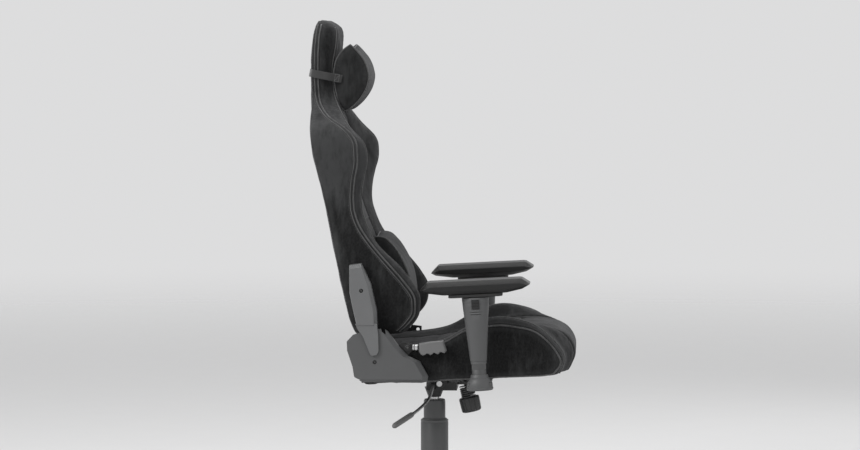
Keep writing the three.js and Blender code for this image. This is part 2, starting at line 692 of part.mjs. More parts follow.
function backSection({ half, rear, seam, bolster, middle }) {
  const inner = (bolster + middle) / 2;
  const right = [
    [0.75 * half, rear - 4], [half, Math.max(rear - 14, seam + 3)], [half, seam], [half - 28, bolster],
    [Math.max(half - 72, 42), inner], [Math.max(half - 106, 22), middle],
  ];
  const left = [...right].reverse().map(([x, y]) => [-x, y]);
  return [[0, rear], ...right, [0, middle + 3], ...left];
}

const CROSS_TUBE = { y: 172, z: 618 };
const FRAME_TUBE = 10;

function backFrameHoop(radius) {
  const side = [
    [178, 176, 612], [184, 205, 760], [188, 232, 880], [196, 252, 970], [180, 262, 1045],
    [112, 268, 1110], [98, 272, 1180], [84, 268, 1232], [40, 265, 1256],
  ];
  const far = [...side].reverse().map(([x, y, z]) => [-x, y, z]);
  return bar([...side, ...far], radius, 36);
}

function backFrameTube(radius) {
  return crossPin(CROSS_TUBE, radius, -268, 268, 12);
}

function backFrame() {
  const bracket = [
    [146, 452], [153, 470], [166, 540], [178, 600], [186, 660], [182, 690], [168, 690],
    [154, 655], [140, 595], [120, 490], [116, 468], [126, 453],
  ];
  const plates = [-1, 1].map((side) => cut(
    plate(bracket, side * 267.5, side * 271.5),
    crossPin(RECLINE_PIVOT, RECLINE_PIVOT.radius + GAP, side * 260, side * 280),
  ));
  const tubes = [backFrameHoop(FRAME_TUBE), backFrameTube(FRAME_TUBE)];
  return piece('back_frame', FINISH.blackSteel, join(...tubes, ...plates));
}

function backCushion() {
  const body = upZ(BACK_LEVELS.map((level) => ({ at: level.z, outline: backSection(level) })));
  const room = FRAME_TUBE + 1;
  return piece('back_cushion', FINISH.suede, cut(body, backFrameHoop(room), backFrameTube(room)));
}

// ---------------------------------------------------------------- pillows and their straps
function pillow(name, outline, middle, half) {
  const ends = [[1, 0.72], [0.955, 0.9], [0.85, 0.98], [0.6, 1]];
  const stations = ends.map(([x, scale]) => ({ at: x * half, outline: shrink(outline, middle, scale) }));
  const far = stations.map(({ at, outline: shape }) => ({ at: -at, outline: shape }));
  return piece(name, FINISH.suedePillow, acrossX([...far, ...stations.reverse()]));
}

const HEAD_PILLOW = [
  [202, 1243], [182, 1222], [169, 1206], [158, 1178], [156, 1155], [164, 1128], [182, 1101],
  [206, 1079], [217, 1074], [230, 1092], [238, 1118], [243.5, 1150], [244, 1180], [238, 1205], [222, 1228],
];
const LUMBAR_PILLOW = [
  [146, 767], [120, 764], [104, 749], [87, 727], [70, 696], [59, 665], [52, 622], [54, 589],
  [70, 562], [94, 552], [107, 562], [114, 590], [120, 620], [126, 660], [132, 696], [140, 736],
];

// A flat band along a path of [u, v] points, thick to its left.
function band(path, thickness) {
  const outer = path.map(([u, v], i) => {
    const [u0, v0] = path[Math.max(i - 1, 0)];
    const [u1, v1] = path[Math.min(i + 1, path.length - 1)];
    const length = Math.hypot(u1 - u0, v1 - v0);
    return [u - ((v1 - v0) / length) * thickness, v + ((u1 - u0) / length) * thickness];
  });
  return [...path, ...outer.reverse()];
}

// The elastic band runs from the pillow's ends round the back of the headrest.
function headStrap() {
  const half = [[133, 222], [142, 237], [154, 253], [155.5, 285], [151, 294.5], [118, 302]];
  const path = [...half, ...[...half].reverse().map(([x, y]) => [-x, y])];
  const outline = band(path.reverse(), 1.5);
  const height = 19;
  const flat = upZ([{ at: -height / 2, outline }, { at: height / 2, outline }]);
  const leaning = flat.translate(0, -299, 0).rotateX(radians(11)).translate(0, 299, 1171);
  return piece('head_strap', FINISH.webbing, leaning);
}

// The webbing runs from the pillow under the back's lower edge and up behind it.
function lumbarStrap() {
  const path = [
    [123.5, 600], [116.5, 562], [110.5, 537], [111, 532.5], [117, 531], [179, 531], [186.5, 534],
    [197.5, 560], [206.5, 590], [213.5, 618],
  ];
  return piece('lumbar_strap', FINISH.webbing, plate(band(path, -1.6), -19, 19));
}

function back() {
  return [
    backFrame(),
    backCushion(),
    pillow('head_pillow', HEAD_PILLOW, [202, 1158], 130),
    headStrap(),
    pillow('lumbar_pillow', LUMBAR_PILLOW, [95, 655], 138),
    lumbarStrap(),
  ];
}

// ---------------------------------------------------------------- assembly
const seat = new THREE.Group();
seat.add(topPlate(), seatFrame(), seatCushion(), seatDustCover(), ...arm(1), ...arm(-1));
seat.position.z = -PITCH_HEIGHT;

const pitchedSeat = new THREE.Group();
pitchedSeat.position.z = PITCH_HEIGHT;
pitchedSeat.rotation.x = -radians(SEAT_PITCH);
pitchedSeat.add(seat);

const group = new THREE.Group();
group.add(baseStar(), ...gasSpring(), ...columnCovers(), ...mechanism(), leverBush(), ...heightLever());
for (let number = 1; number <= LEG_COUNT; number += 1) group.add(caster(number));
group.add(pitchedSeat, ...reclineLever(), ...back());
for (const side of [1, -1]) group.add(lowerHingeCover(side), upperHingeCover(side), reclinePin(side));

export default group;
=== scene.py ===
"""Looks of a gaming chair, built around its fixed frame.

Lengths in the frame are metres: the sitter faces -Y, the sitter's left is +X and
the floor is z = 0. Outlines and profiles are given in millimetres and become
metres in mm().
"""
import logging
from abc import ABC, abstractmethod
from collections.abc import Callable, Iterable, Sequence
from dataclasses import dataclass, field
from enum import Enum
from functools import partial
from math import ceil, cos, hypot, pi, radians, sin

import bmesh
import bpy
import numpy as np
from mathutils import Matrix, Vector, noise
from mathutils.bvhtree import BVHTree
from mathutils.geometry import tessellate_polygon
from mathutils.kdtree import KDTree


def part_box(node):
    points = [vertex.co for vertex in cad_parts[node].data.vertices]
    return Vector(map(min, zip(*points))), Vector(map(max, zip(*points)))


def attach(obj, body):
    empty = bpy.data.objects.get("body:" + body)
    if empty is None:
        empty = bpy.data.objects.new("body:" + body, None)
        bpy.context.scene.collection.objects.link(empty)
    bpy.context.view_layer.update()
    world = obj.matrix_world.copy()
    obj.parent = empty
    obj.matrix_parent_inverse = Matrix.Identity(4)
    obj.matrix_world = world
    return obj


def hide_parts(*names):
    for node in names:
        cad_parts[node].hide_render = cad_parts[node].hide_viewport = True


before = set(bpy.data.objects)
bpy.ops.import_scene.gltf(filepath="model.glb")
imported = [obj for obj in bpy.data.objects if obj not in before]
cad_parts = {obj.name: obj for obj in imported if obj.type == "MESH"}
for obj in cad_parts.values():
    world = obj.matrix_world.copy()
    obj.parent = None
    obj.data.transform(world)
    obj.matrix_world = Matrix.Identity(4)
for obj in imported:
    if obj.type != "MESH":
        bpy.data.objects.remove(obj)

logging.basicConfig(level=logging.INFO, format="%(name)s: %(message)s")
log = logging.getLogger("chair")

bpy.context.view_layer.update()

Colour = tuple[float, float, float]
Pair = tuple[float, float]
Outline = list[Pair]


class Side(Enum):
    """A side of the chair, as the sign of its X."""

    LEFT = 1
    RIGHT = -1

    @property
    def label(self) -> str:
        """The side's name as the end of a piece's name."""
        return self.name.lower()


class Slot(Enum):
    """The material slots that the record names."""

    SUEDE = "suede"
    PILLOW_SUEDE = "pillow_suede"
    WEBBING = "webbing"
    DUST_CLOTH = "dust_cloth"
    BLACK_PLASTIC = "black_plastic"
    GREY_PLASTIC = "grey_plastic"
    PAD_FOAM = "pad_foam"
    TREAD = "tread"
    BLACK_STEEL = "black_steel"
    GREY_PAINT = "grey_paint"
    BRIGHT_STEEL = "bright_steel"


def mm(*lengths: float) -> Vector:
    """Three lengths in millimetres as a vector in metres."""
    return Vector(lengths) * 0.001


def grey(level: float, warmth: float = 0.0) -> Colour:
    """A near-neutral colour, with a little more red than blue where warmth is above 0."""
    return (level * (1 + warmth), level, level * (1 - warmth))


def scaled(colour: Colour, share: float) -> Colour:
    """A colour with each part times share, and at most 1."""
    return tuple(min(1.0, c * share) for c in colour)


# ------------------------------------------------------------------ shader expressions
class Sock:
    """A node's output in an expression, where arithmetic adds Math nodes."""

    def __init__(self, shader: "Shader", socket: bpy.types.NodeSocket) -> None:
        """Wraps one output socket of one shader's tree."""
        self.shader = shader
        self.socket = socket

    def _math(self, operation: str, *terms: "Sock | float") -> "Sock":
        """Adds one Math node on the given terms."""
        return self.shader.node(
            "ShaderNodeMath", {"operation": operation}, dict(enumerate(terms))
        )

    def __add__(self, other: "Sock | float") -> "Sock":
        """The sum."""
        return self._math("ADD", self, other)

    def __radd__(self, other: float) -> "Sock":
        """The sum with a number on the left."""
        return self._math("ADD", other, self)

    def __sub__(self, other: "Sock | float") -> "Sock":
        """The difference."""
        return self._math("SUBTRACT", self, other)

    def __rsub__(self, other: float) -> "Sock":
        """The difference from a number on the left."""
        return self._math("SUBTRACT", other, self)

    def __mul__(self, other: "Sock | float") -> "Sock":
        """The product."""
        return self._math("MULTIPLY", self, other)

    def __rmul__(self, other: float) -> "Sock":
        """The product with a number on the left."""
        return self._math("MULTIPLY", other, self)

    def sine(self) -> "Sock":
        """The sine, of an angle in radians."""
        return self._math("SINE", self)

    def between(self, low: float, high: float) -> "Sock":
        """0 below low and 1 above high, with a smooth step between them."""
        return self.shader.node(
            "ShaderNodeMapRange",
            {"interpolation_type": "SMOOTHSTEP"},
            {"Value": self, "From Min": low, "From Max": high},
        )


class Shader:
    """A material's node tree around one Principled BSDF."""

    def __init__(self, name: str) -> None:
        """Makes the material, with its surface and output nodes."""
        self.material = bpy.data.materials.new(name)
        self.material.use_nodes = True
        self.tree = self.material.node_tree
        self.surface = self.tree.nodes["Principled BSDF"]

    def node(
        self,
        kind: str,
        settings: dict[str, object] | None = None,
        values: dict[str | int, object] | None = None,
        output: str | int = 0,
    ) -> Sock:
        """Adds any node.

        Args:
            kind: The node's type.
            settings: Its properties, set before its sockets.
            values: A number, vector or Sock for each input, by name or place.
            output: The output that is wanted, by name or place.

        Returns:
            The output as a Sock.
        """
        made = self.tree.nodes.new(kind)
        for key, value in (settings or {}).items():
            setattr(made, key, value)
        for key, value in (values or {}).items():
            if isinstance(value, Sock):
                self.tree.links.new(value.socket, made.inputs[key])
            else:
                made.inputs[key].default_value = value
        return Sock(self, made.outputs[output])

    def place(self, scale: Sequence[float] = (1, 1, 1)) -> Sock:
        """The point on the piece in metres, scaled along each axis."""
        point = self.node("ShaderNodeTexCoord", output="Object")
        return self.node(
            "ShaderNodeVectorMath", {"operation": "MULTIPLY"}, {0: point, 1: tuple(scale)}
        )

    def noise(
        self, scale: float, detail: float = 2.0, roughness: float = 0.5,
        stretch: Sequence[float] = (1, 1, 1),
    ) -> Sock:
        """A noise value of the given grain per metre."""
        return self.node(
            "ShaderNodeTexNoise",
            values={
                "Vector": self.place(stretch),
                "Scale": scale,
                "Detail": detail,
                "Roughness": roughness,
            },
        )

    def stored(self, name: str) -> Sock:
        """A number stored on the mesh's points."""
        return self.node("ShaderNodeAttribute", {"attribute_name": name}, output="Fac")

    def mix(self, share: Sock | float, first: Colour | Sock, second: Colour | Sock) -> Sock:
        """A colour between two colours.

        Args:
            share: 0 for the first colour, 1 for the second.
            first: A colour or a Sock of one.
            second: A colour or a Sock of one.

        Returns:
            The mixed colour.
        """
        ends = [c if isinstance(c, Sock) else (*c, 1.0) for c in (first, second)]
        return self.node(
            "ShaderNodeMix", {"data_type": "RGBA"}, {0: share, 6: ends[0], 7: ends[1]}, output=2
        )

    def bump(self, height: Sock, distance: float, strength: float = 1.0) -> Sock:
        """A normal raised by height times distance."""
        return self.node(
            "ShaderNodeBump",
            values={"Height": height, "Distance": distance, "Strength": strength},
        )

    def finish(self, constants: dict[str, object], links: dict[str, Sock]) -> bpy.types.Material:
        """Sets the surface's plain values and links what varies.

        Args:
            constants: Values that are the same all over the surface.
            links: Socks for the sockets that vary.

        Returns:
            The finished material.
        """
        for key, value in constants.items():
            self.surface.inputs[key].default_value = value
        for key, sock in links.items():
            self.tree.links.new(sock.socket, self.surface.inputs[key])
        return self.material


# ------------------------------------------------------------------ finishes
class Finish(ABC):
    """A surface that can be made into a material."""

    @abstractmethod
    def material(self, name: str) -> bpy.types.Material:
        """The finish as a material of that name."""


@dataclass(frozen=True)
class Suede(Finish):
    """Brushed microfibre suede, whose nap lies in lighter and darker strokes.

    Cushions store two numbers on their points: "seam", the distance to the nearest
    seam, and a number of painted light, how much lighter or darker the nap is painted there.
    """

    dark: Colour = grey(0.004, -0.02)
    light: Colour = grey(0.042, -0.015)
    stroke: float = 15.0
    sheen: float = 0.16
    painted_light_bias: float = 0.0

    def material(self, name: str) -> bpy.types.Material:
        """The suede with nap strokes, fibres, rubbed seam ridges, painted light from the stored
        number and the bias, and painted shade in the seam creases.
        """
        s = Shader(name)
        patch = s.noise(self.stroke, 3.0, 0.55, stretch=(1.0, 1.0, 0.55))
        strokes = s.noise(self.stroke * 5, 4.0, 0.62, stretch=(0.8, 1.3, 0.36))
        fibre = s.noise(900.0, 2.0, 0.7)
        weave = s.noise(260.0, 3.0, 0.6, stretch=(1, 1, 0.6))
        # Painted light: the stored number and the bias make the nap's colour lighter or darker,
        # standing in for light and shade.
        lay = s.stored("nap_painted_light") + self.painted_light_bias
        nap_and_painted_light = (patch * 0.62 + strokes * 0.38 + lay).between(0.33, 0.7)
        seam = s.stored("seam")
        # Painted shade: the colour is mixed towards near black along the seams, for the shade in
        # their creases.
        painted_crease_shade = 1 - seam.between(0.0004, 0.0045)
        ridge = seam.between(0.002, 0.006) * (1 - seam.between(0.008, 0.02))
        nap_painted_light = s.mix(nap_and_painted_light, self.dark, self.light)
        fibred = s.mix((fibre * 0.5 + weave * 0.5).between(0.38, 0.66) * 0.3, nap_painted_light, self.light)
        rubbed = s.mix(ridge * (0.25 + nap_and_painted_light * 0.35), fibred, self.light)
        with_painted_crease_shade = s.mix(painted_crease_shade * 0.6, rubbed, grey(0.0025))
        height = fibre * 0.35 + weave * 0.45 + strokes * 0.6
        return s.finish(
            {
                "Sheen Weight": self.sheen,
                "Sheen Roughness": 0.42,
                "Sheen Tint": (0.74, 0.74, 0.76, 1.0),
                "Specular IOR Level": 0.22,
            },
            {
                "Base Color": with_painted_crease_shade,
                "Roughness": 0.96 - nap_and_painted_light * 0.12,
                "Normal": s.bump(height, 0.0011, 0.55),
            },
        )


@dataclass(frozen=True)
class Webbing(Finish):
    """Woven band, with "along" and "across" in metres stored on its points."""

    colour: Colour
    pick: float = 0.0016
    cord: float = 0.0021

    def material(self, name: str) -> bpy.types.Material:
        """The band with a rib across and a cord along its length."""
        s = Shader(name)
        along, across = s.stored("along"), s.stored("across")
        rib = (along * (2 * pi / self.pick)).sine() * 0.5 + 0.5
        cord = (across * (2 * pi / self.cord)).sine() * 0.5 + 0.5
        weave = rib * 0.45 + cord * 0.55
        dust = s.noise(70.0, 3.0, 0.6)
        base = s.mix(weave * (0.65 + dust * 0.35), scaled(self.colour, 0.45), self.colour)
        return s.finish(
            {"Sheen Weight": 0.35, "Sheen Roughness": 0.4, "Specular IOR Level": 0.3},
            {
                "Base Color": base,
                "Roughness": 0.92 - weave * 0.14,
                "Normal": s.bump(weave, 0.0004, 0.8),
            },
        )


@dataclass(frozen=True)
class DustCloth(Finish):
    """Thin non-woven cloth with a pressed diamond dot."""

    colour: Colour = grey(0.012)

    def material(self, name: str) -> bpy.types.Material:
        """The cloth with its pressed dots and loose fibres."""
        s = Shader(name)
        dots = s.node(
            "ShaderNodeTexVoronoi",
            {"feature": "F1"},
            {"Vector": s.place(), "Scale": 420.0, "Randomness": 0.15},
        ).between(0.12, 0.4)
        fibre = s.noise(300.0, 4.0, 0.7)
        base = s.mix(dots * 0.5 + fibre * 0.3, self.colour, grey(0.045))
        return s.finish(
            {"Specular IOR Level": 0.25},
            {
                "Base Color": base,
                "Roughness": 0.95 - fibre * 0.1,
                "Normal": s.bump(dots + fibre * 0.4, 0.0003, 0.7),
            },
        )


@dataclass(frozen=True)
class Moulded(Finish):
    """Injection-moulded plastic with a fine spark-eroded grain."""

    colour: Colour
    roughness: float = 0.46
    grain: float = 1300.0
    depth: float = 0.00012
    worn: Colour = grey(0.3)

    def material(self, name: str) -> bpy.types.Material:
        """The plastic with its grain, flow clouds, handling marks and rubbed edges."""
        s = Shader(name)
        grain = s.noise(self.grain, 2.0, 0.6)
        cloud = s.noise(22.0, 3.0, 0.55)
        marks = s.noise(95.0, 5.0, 0.72, stretch=(1, 0.5, 1)).between(0.58, 0.76)
        edge = s.node("ShaderNodeNewGeometry", output="Pointiness").between(0.52, 0.6)
        base = s.mix(cloud * 0.7 + grain * 0.3, scaled(self.colour, 0.8), self.colour)
        rubbed = s.mix(edge * (0.1 + marks * 0.2), base, self.worn)
        return s.finish(
            {"Specular IOR Level": 0.45},
            {
                "Base Color": rubbed,
                "Roughness": self.roughness - 0.06 + grain * 0.1 + marks * 0.07,
                "Normal": s.bump(grain + marks * 0.3, self.depth, 0.6),
            },
        )


@dataclass(frozen=True)
class Metal(Finish):
    """Steel, painted or bare. The brush marks run the way that stretch says."""

    colour: Colour
    metallic: float
    roughness: float
    grain: float = 500.0
    depth: float = 0.0001
    stretch: tuple[float, float, float] = (1.0, 1.0, 1.0)
    coat: float = 0.0

    def material(self, name: str) -> bpy.types.Material:
        """The metal with its paint skin or brush marks, smudges and bright edges."""
        s = Shader(name)
        skin = s.noise(self.grain, 3.0, 0.6, stretch=self.stretch)
        smudge = s.noise(30.0, 4.0, 0.65).between(0.4, 0.72)
        edge = s.node("ShaderNodeNewGeometry", output="Pointiness").between(0.53, 0.62)
        base = s.mix(skin * 0.5 + smudge * 0.3, self.colour, scaled(self.colour, 0.72))
        bright = s.mix(edge * 0.25, base, grey(0.4))
        return s.finish(
            {"Coat Weight": self.coat, "Coat Roughness": 0.25},
            {
                "Base Color": bright,
                "Metallic": self.metallic - smudge * 0.04,
                "Roughness": self.roughness + smudge * 0.12 + skin * 0.06,
                "Normal": s.bump(skin, self.depth, 0.5),
            },
        )


@dataclass(frozen=True)
class SoftSkin(Finish):
    """Soft-touch polyurethane or rubber with a fine leather grain."""

    colour: Colour
    roughness: float = 0.62
    cell: float = 520.0

    def material(self, name: str) -> bpy.types.Material:
        """The skin with grain cells, scuffs and clouds of slightly smoother polish."""
        s = Shader(name)
        cell = s.node(
            "ShaderNodeTexVoronoi",
            {"feature": "DISTANCE_TO_EDGE"},
            {"Vector": s.place(), "Scale": self.cell},
        ).between(0.0, 0.22)
        cloud = s.noise(18.0, 3.0, 0.55)
        scuff = s.noise(120.0, 5.0, 0.75, stretch=(1, 0.35, 1)).between(0.6, 0.78)
        base = s.mix(cell * (0.5 + cloud * 0.5), scaled(self.colour, 0.7), self.colour)
        scuffed = s.mix(scuff * 0.3, base, scaled(self.colour, 1.8))
        return s.finish(
            {"Specular IOR Level": 0.4},
            {
                "Base Color": scuffed,
                "Roughness": self.roughness + scuff * 0.1 - cloud * 0.08,
                "Normal": s.bump(cell, 0.00018, 0.6),
            },
        )


FINISHES: dict[Slot, Finish] = {
    Slot.SUEDE: Suede(),
    # The pillows' bias of -0.02 paints a little shade into their nap.
    Slot.PILLOW_SUEDE: Suede(dark=grey(0.0055, -0.02), light=grey(0.027, -0.015), painted_light_bias=-0.02),
    Slot.WEBBING: Webbing(grey(0.06)),
    Slot.DUST_CLOTH: DustCloth(),
    Slot.BLACK_PLASTIC: Moulded(grey(0.011), roughness=0.4, worn=grey(0.06)),
    Slot.GREY_PLASTIC: Moulded(grey(0.085, -0.015)),
    Slot.PAD_FOAM: SoftSkin(grey(0.008), roughness=0.44),
    Slot.TREAD: SoftSkin(grey(0.02), roughness=0.7, cell=700.0),
    Slot.BLACK_STEEL: Metal(grey(0.013), 0.35, 0.4, coat=0.2),
    Slot.GREY_PAINT: Metal(grey(0.075, -0.01), 0.3, 0.4, coat=0.25),
    Slot.BRIGHT_STEEL: Metal(grey(0.62), 0.98, 0.2, 900.0, 0.00006, (1.0, 1.0, 0.08)),
}


class Wardrobe:
    """Makes each finish's material once and dresses pieces in it."""

    def __init__(self) -> None:
        """Starts with no material made."""
        self._made: dict[Finish, bpy.types.Material] = {}

    def dress(self, piece: bpy.types.Object, slot: Slot, finish: Finish | None = None) -> None:
        """Gives a piece one finish all over.

        Args:
            piece: The piece.
            slot: The record's slot that the piece belongs to.
            finish: Another finish than the slot's own.
        """
        wanted = finish or FINISHES[slot]
        if wanted not in self._made:
            self._made[wanted] = wanted.material(f"{slot.value}_{len(self._made)}")
        piece.data.materials.clear()
        piece.data.materials.append(self._made[wanted])


WARDROBE = Wardrobe()


def stand_in(
    piece: bpy.types.Object, body: str, slot: Slot, *nodes: str, finish: Finish | None = None
) -> None:
    """Hangs a new piece on a body and dresses it.

    Args:
        piece: The new piece, in place.
        body: The body that it rides on.
        slot: The record's material slot.
        *nodes: The frame's nodes that it stands for.
        finish: A finish other than the slot's own.
    """
    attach(piece, body)
    WARDROBE.dress(piece, slot, finish)
    if nodes:
        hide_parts(*nodes)
    log.info("%s on %s: %d faces", piece.name, body, len(piece.data.polygons))


def keep_node(
    name: str, slot: Slot, bevel: float = 0.0, angle: float = 32.0, finish: Finish | None = None
) -> None:
    """Dresses one of the frame's own nodes, with its edges softened.

    Args:
        name: The node.
        slot: The record's slot that it takes its finish from.
        bevel: Width of the rounding in millimetres, or 0 for none.
        angle: Edges sharper than this many degrees are rounded.
        finish: A finish other than the slot's own.
    """
    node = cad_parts[name]
    WARDROBE.dress(node, slot, finish)
    custom = node.data.attributes.get("custom_normal")
    if custom is not None:
        node.data.attributes.remove(custom)
    node.data.polygons.foreach_set("use_smooth", [True] * len(node.data.polygons))
    weld = node.modifiers.new("Weld", "WELD")
    weld.merge_threshold = 2e-5
    if bevel:
        soften(node, bevel, angle)
    split = node.modifiers.new("Split", "EDGE_SPLIT")
    split.split_angle = radians(angle)
    log.info("%s kept", name)


def soften(piece: bpy.types.Object, width: float, angle: float = 32.0, segments: int = 2) -> None:
    """Rounds a piece's sharp edges with a modifier.

    Args:
        piece: The piece.
        width: Width of the rounding in millimetres.
        angle: Edges sharper than this many degrees are rounded.
        segments: Number of facets in the rounding.
    """
    bevel = piece.modifiers.new("Soften", "BEVEL")
    bevel.width = width * 0.001
    bevel.segments = segments
    bevel.limit_method = "ANGLE"
    bevel.angle_limit = radians(angle)
    bevel.harden_normals = True
    bevel.use_clamp_overlap = True


# ------------------------------------------------------------------ shapes
class Solid:
    """Points and faces gathered before they become one mesh."""

    def __init__(self) -> None:
        """Starts empty."""
        self.points: list[Vector] = []
        self.faces: list[tuple[int, ...]] = []
        self.stored: dict[str, list[float]] = {}

    def skin(self, rings: Sequence[Sequence[Vector]]) -> "Solid":
        """Skins over closed rings of equal length, and fills the first and the last.

        Args:
            rings: The rings, one after the other.

        Returns:
            This solid.
        """
        first, count = len(self.points), len(rings[0])
        for ring in rings:
            self.points.extend(Vector(p) for p in ring)
        for r in range(len(rings) - 1):
            for i in range(count):
                a = first + r * count + i
                b = first + r * count + (i + 1) % count
                self.faces.append((a, b, b + count, a + count))
        for start in (first, first + (len(rings) - 1) * count):
            self._fill(list(range(start, start + count)))
        return self

    def _fill(self, loop: list[int]) -> None:
        """Fills a flat loop of points with triangles."""
        for a, b, c in tessellate_polygon([[self.points[i] for i in loop]]):
            self.faces.append((loop[a], loop[b], loop[c]))

    def turned(
        self, profile: Iterable[Pair], place: Matrix | None = None, segments: int = 48,
        squeeze: float = 1.0,
    ) -> "Solid":
        """Adds a turned shape about local Z.

        Args:
            profile: Pairs of radius and height in millimetres, radius 0 at the axis.
            place: Where its local frame stands.
            segments: Number of facets round it.
            squeeze: Width along local X as a share of the width along Y.

        Returns:
            This solid.
        """
        place = place or Matrix.Identity(4)
        previous: list[int] = []
        for radius, height in profile:
            start = len(self.points)
            steps = 1 if radius == 0 else segments
            for i in range(steps):
                turn = 2 * pi * i / segments
                at = mm(radius * cos(turn) * squeeze, radius * sin(turn), height)
                self.points.append(place @ at)
            ring = list(range(start, start + steps))
            if previous:
                self._bridge(previous, ring, segments)
            previous = ring
        return self

    def _bridge(self, a: list[int], b: list[int], segments: int) -> None:
        """Joins two rings of a turned shape, either of which may be one point."""
        for i in range(segments):
            j = (i + 1) % segments
            corners = [a[i % len(a)], a[j % len(a)], b[j % len(b)], b[i % len(b)]]
            kept = tuple(dict.fromkeys(corners))
            if len(kept) > 2:
                self.faces.append(kept)

    def swept(
        self, path: Sequence[Vector], radius: float | Sequence[float], sides: int = 10
    ) -> "Solid":
        """Adds a round tube with domed ends along a path.

        Args:
            path: Points in metres.
            radius: Its radius in metres, or one for each point.
            sides: Number of facets round it.

        Returns:
            This solid.
        """
        count = len(path)
        radii = [radius] * count if isinstance(radius, (int, float)) else list(radius)
        up = Vector((0, 0, 1))
        rings = []
        for i, point in enumerate(path):
            ahead = path[min(i + 1, count - 1)] - path[max(i - 1, 0)]
            ahead = ahead.normalized() if ahead.length > 1e-12 else Vector((0, 1, 0))
            across = ahead.cross(up)
            if across.length < 0.05:
                across = ahead.cross(Vector((0, 1, 0)))
            across.normalize()
            up = across.cross(ahead).normalized()
            rings.append([
                point + (across * cos(2 * pi * k / sides) + up * sin(2 * pi * k / sides)) * radii[i]
                for k in range(sides)
            ])
        return self.skin(rings)

    def plate(self, outline: Sequence[Pair], stations: Sequence[Pair], middle: Pair) -> "Solid":
        """Adds a plate that lies in the YZ plane.

        Args:
            outline: Its outline as (y, z) in millimetres.
            stations: For each layer its X in millimetres and the outline's scale.
            middle: The point that scaling keeps.

        Returns:
            This solid.
        """
        y0, z0 = middle
        return self.skin([
            [mm(x, y0 + (y - y0) * scale, z0 + (z - z0) * scale) for y, z in outline]
            for x, scale in stations
        ])

    def box(
        self, low: Sequence[float], high: Sequence[float], place: Matrix | None = None
    ) -> "Solid":
        """Adds a box from its lowest and highest corner in millimetres."""
        (x0, y0, z0), (x1, y1, z1) = low, high
        place = place or Matrix.Identity(4)
        corners = [(x0, y0), (x1, y0), (x1, y1), (x0, y1)]
        return self.skin([[place @ mm(x, y, z) for x, y in corners] for z in (z0, z1)])

    def piece(self, name: str, sharp: float = 34.0) -> bpy.types.Object:
        """The gathered mesh as an object.

        Args:
            name: The object's name.
            sharp: Edges sharper than this many degrees stay sharp.

        Returns:
            The object, linked to the scene.
        """
        mesh = bpy.data.meshes.new(name)
        mesh.from_pydata(self.points, [], self.faces)
        for key, values in self.stored.items():
            mesh.attributes.new(key, "FLOAT", "POINT").data.foreach_set("value", values)
        b = bmesh.new()
        b.from_mesh(mesh)
        bmesh.ops.recalc_face_normals(b, faces=b.faces)
        b.to_mesh(mesh)
        b.free()
        mesh.polygons.foreach_set("use_smooth", [True] * len(mesh.polygons))
        mesh.set_sharp_from_angle(angle=radians(sharp))
        made = bpy.data.objects.new(name, mesh)
        bpy.context.scene.collection.objects.link(made)
        return made


def baked(piece: bpy.types.Object) -> None:
    """Applies every modifier of a piece to its mesh."""
    graph = bpy.context.evaluated_depsgraph_get()
    mesh = bpy.data.meshes.new_from_object(piece.evaluated_get(graph))
    piece.modifiers.clear()
    piece.data = mesh


def voxel_remesh(piece: bpy.types.Object, size: float) -> None:
    """Gives a piece an even mesh, with cells of size metres."""
    remesh = piece.modifiers.new("Remesh", "REMESH")
    remesh.mode = "VOXEL"
    remesh.voxel_size = size
    remesh.use_smooth_shade = True
    baked(piece)


def carve(piece: bpy.types.Object, tool: Solid) -> None:
    """Cuts a solid out of a piece and applies the cut."""
    cutter = tool.piece("cutter")
    cut = piece.modifiers.new("Cut", "BOOLEAN")
    cut.operation = "DIFFERENCE"
    cut.solver = "EXACT"
    cut.object = cutter
    baked(piece)
    bpy.data.objects.remove(cutter)


def coordinates(mesh: bpy.types.Mesh) -> np.ndarray:
    """A mesh's points as an array of rows."""
    flat = np.empty(len(mesh.vertices) * 3, np.float32)
    mesh.vertices.foreach_get("co", flat)
    return flat.reshape(-1, 3)


def hermite(
    t: np.ndarray | float, start: np.ndarray, end: np.ndarray, rise: np.ndarray, fall: np.ndarray
) -> np.ndarray:
    """The cubic from start to end at t, leaving with slope rise and arriving with fall."""
    return (
        start * (1 + 2 * t) * (1 - t) ** 2 + rise * t * (1 - t) ** 2
        + end * t * t * (3 - 2 * t) - fall * t * t * (1 - t)
    )


def even_slopes(xs: np.ndarray, ys: np.ndarray) -> np.ndarray:
    """Slopes for a cubic through the points that doesn't overshoot them."""
    step = np.diff(ys) / np.diff(xs)
    slopes = np.concatenate([[step[0]], (step[1:] + step[:-1]) / 2, [step[-1]]])
    slopes[1:-1][step[1:] * step[:-1] <= 0] = 0
    limit = 3 * np.minimum(
        np.abs(np.concatenate([[step[0]], step])), np.abs(np.concatenate([step, [step[-1]]]))
    )
    return np.clip(slopes, -limit, limit)


def curve_at(x: np.ndarray, xs: Sequence[float], ys: Sequence[float]) -> np.ndarray:
    """A smooth curve through (xs, ys), read at x."""
    xs, ys = np.asarray(xs, float), np.asarray(ys, float)
    slopes = even_slopes(xs, ys)
    i = np.clip(np.searchsorted(xs, x) - 1, 0, len(xs) - 2)
    width = xs[i + 1] - xs[i]
    t = np.clip((x - xs[i]) / width, 0, 1)
    return hermite(t, ys[i], ys[i + 1], slopes[i] * width, slopes[i + 1] * width)


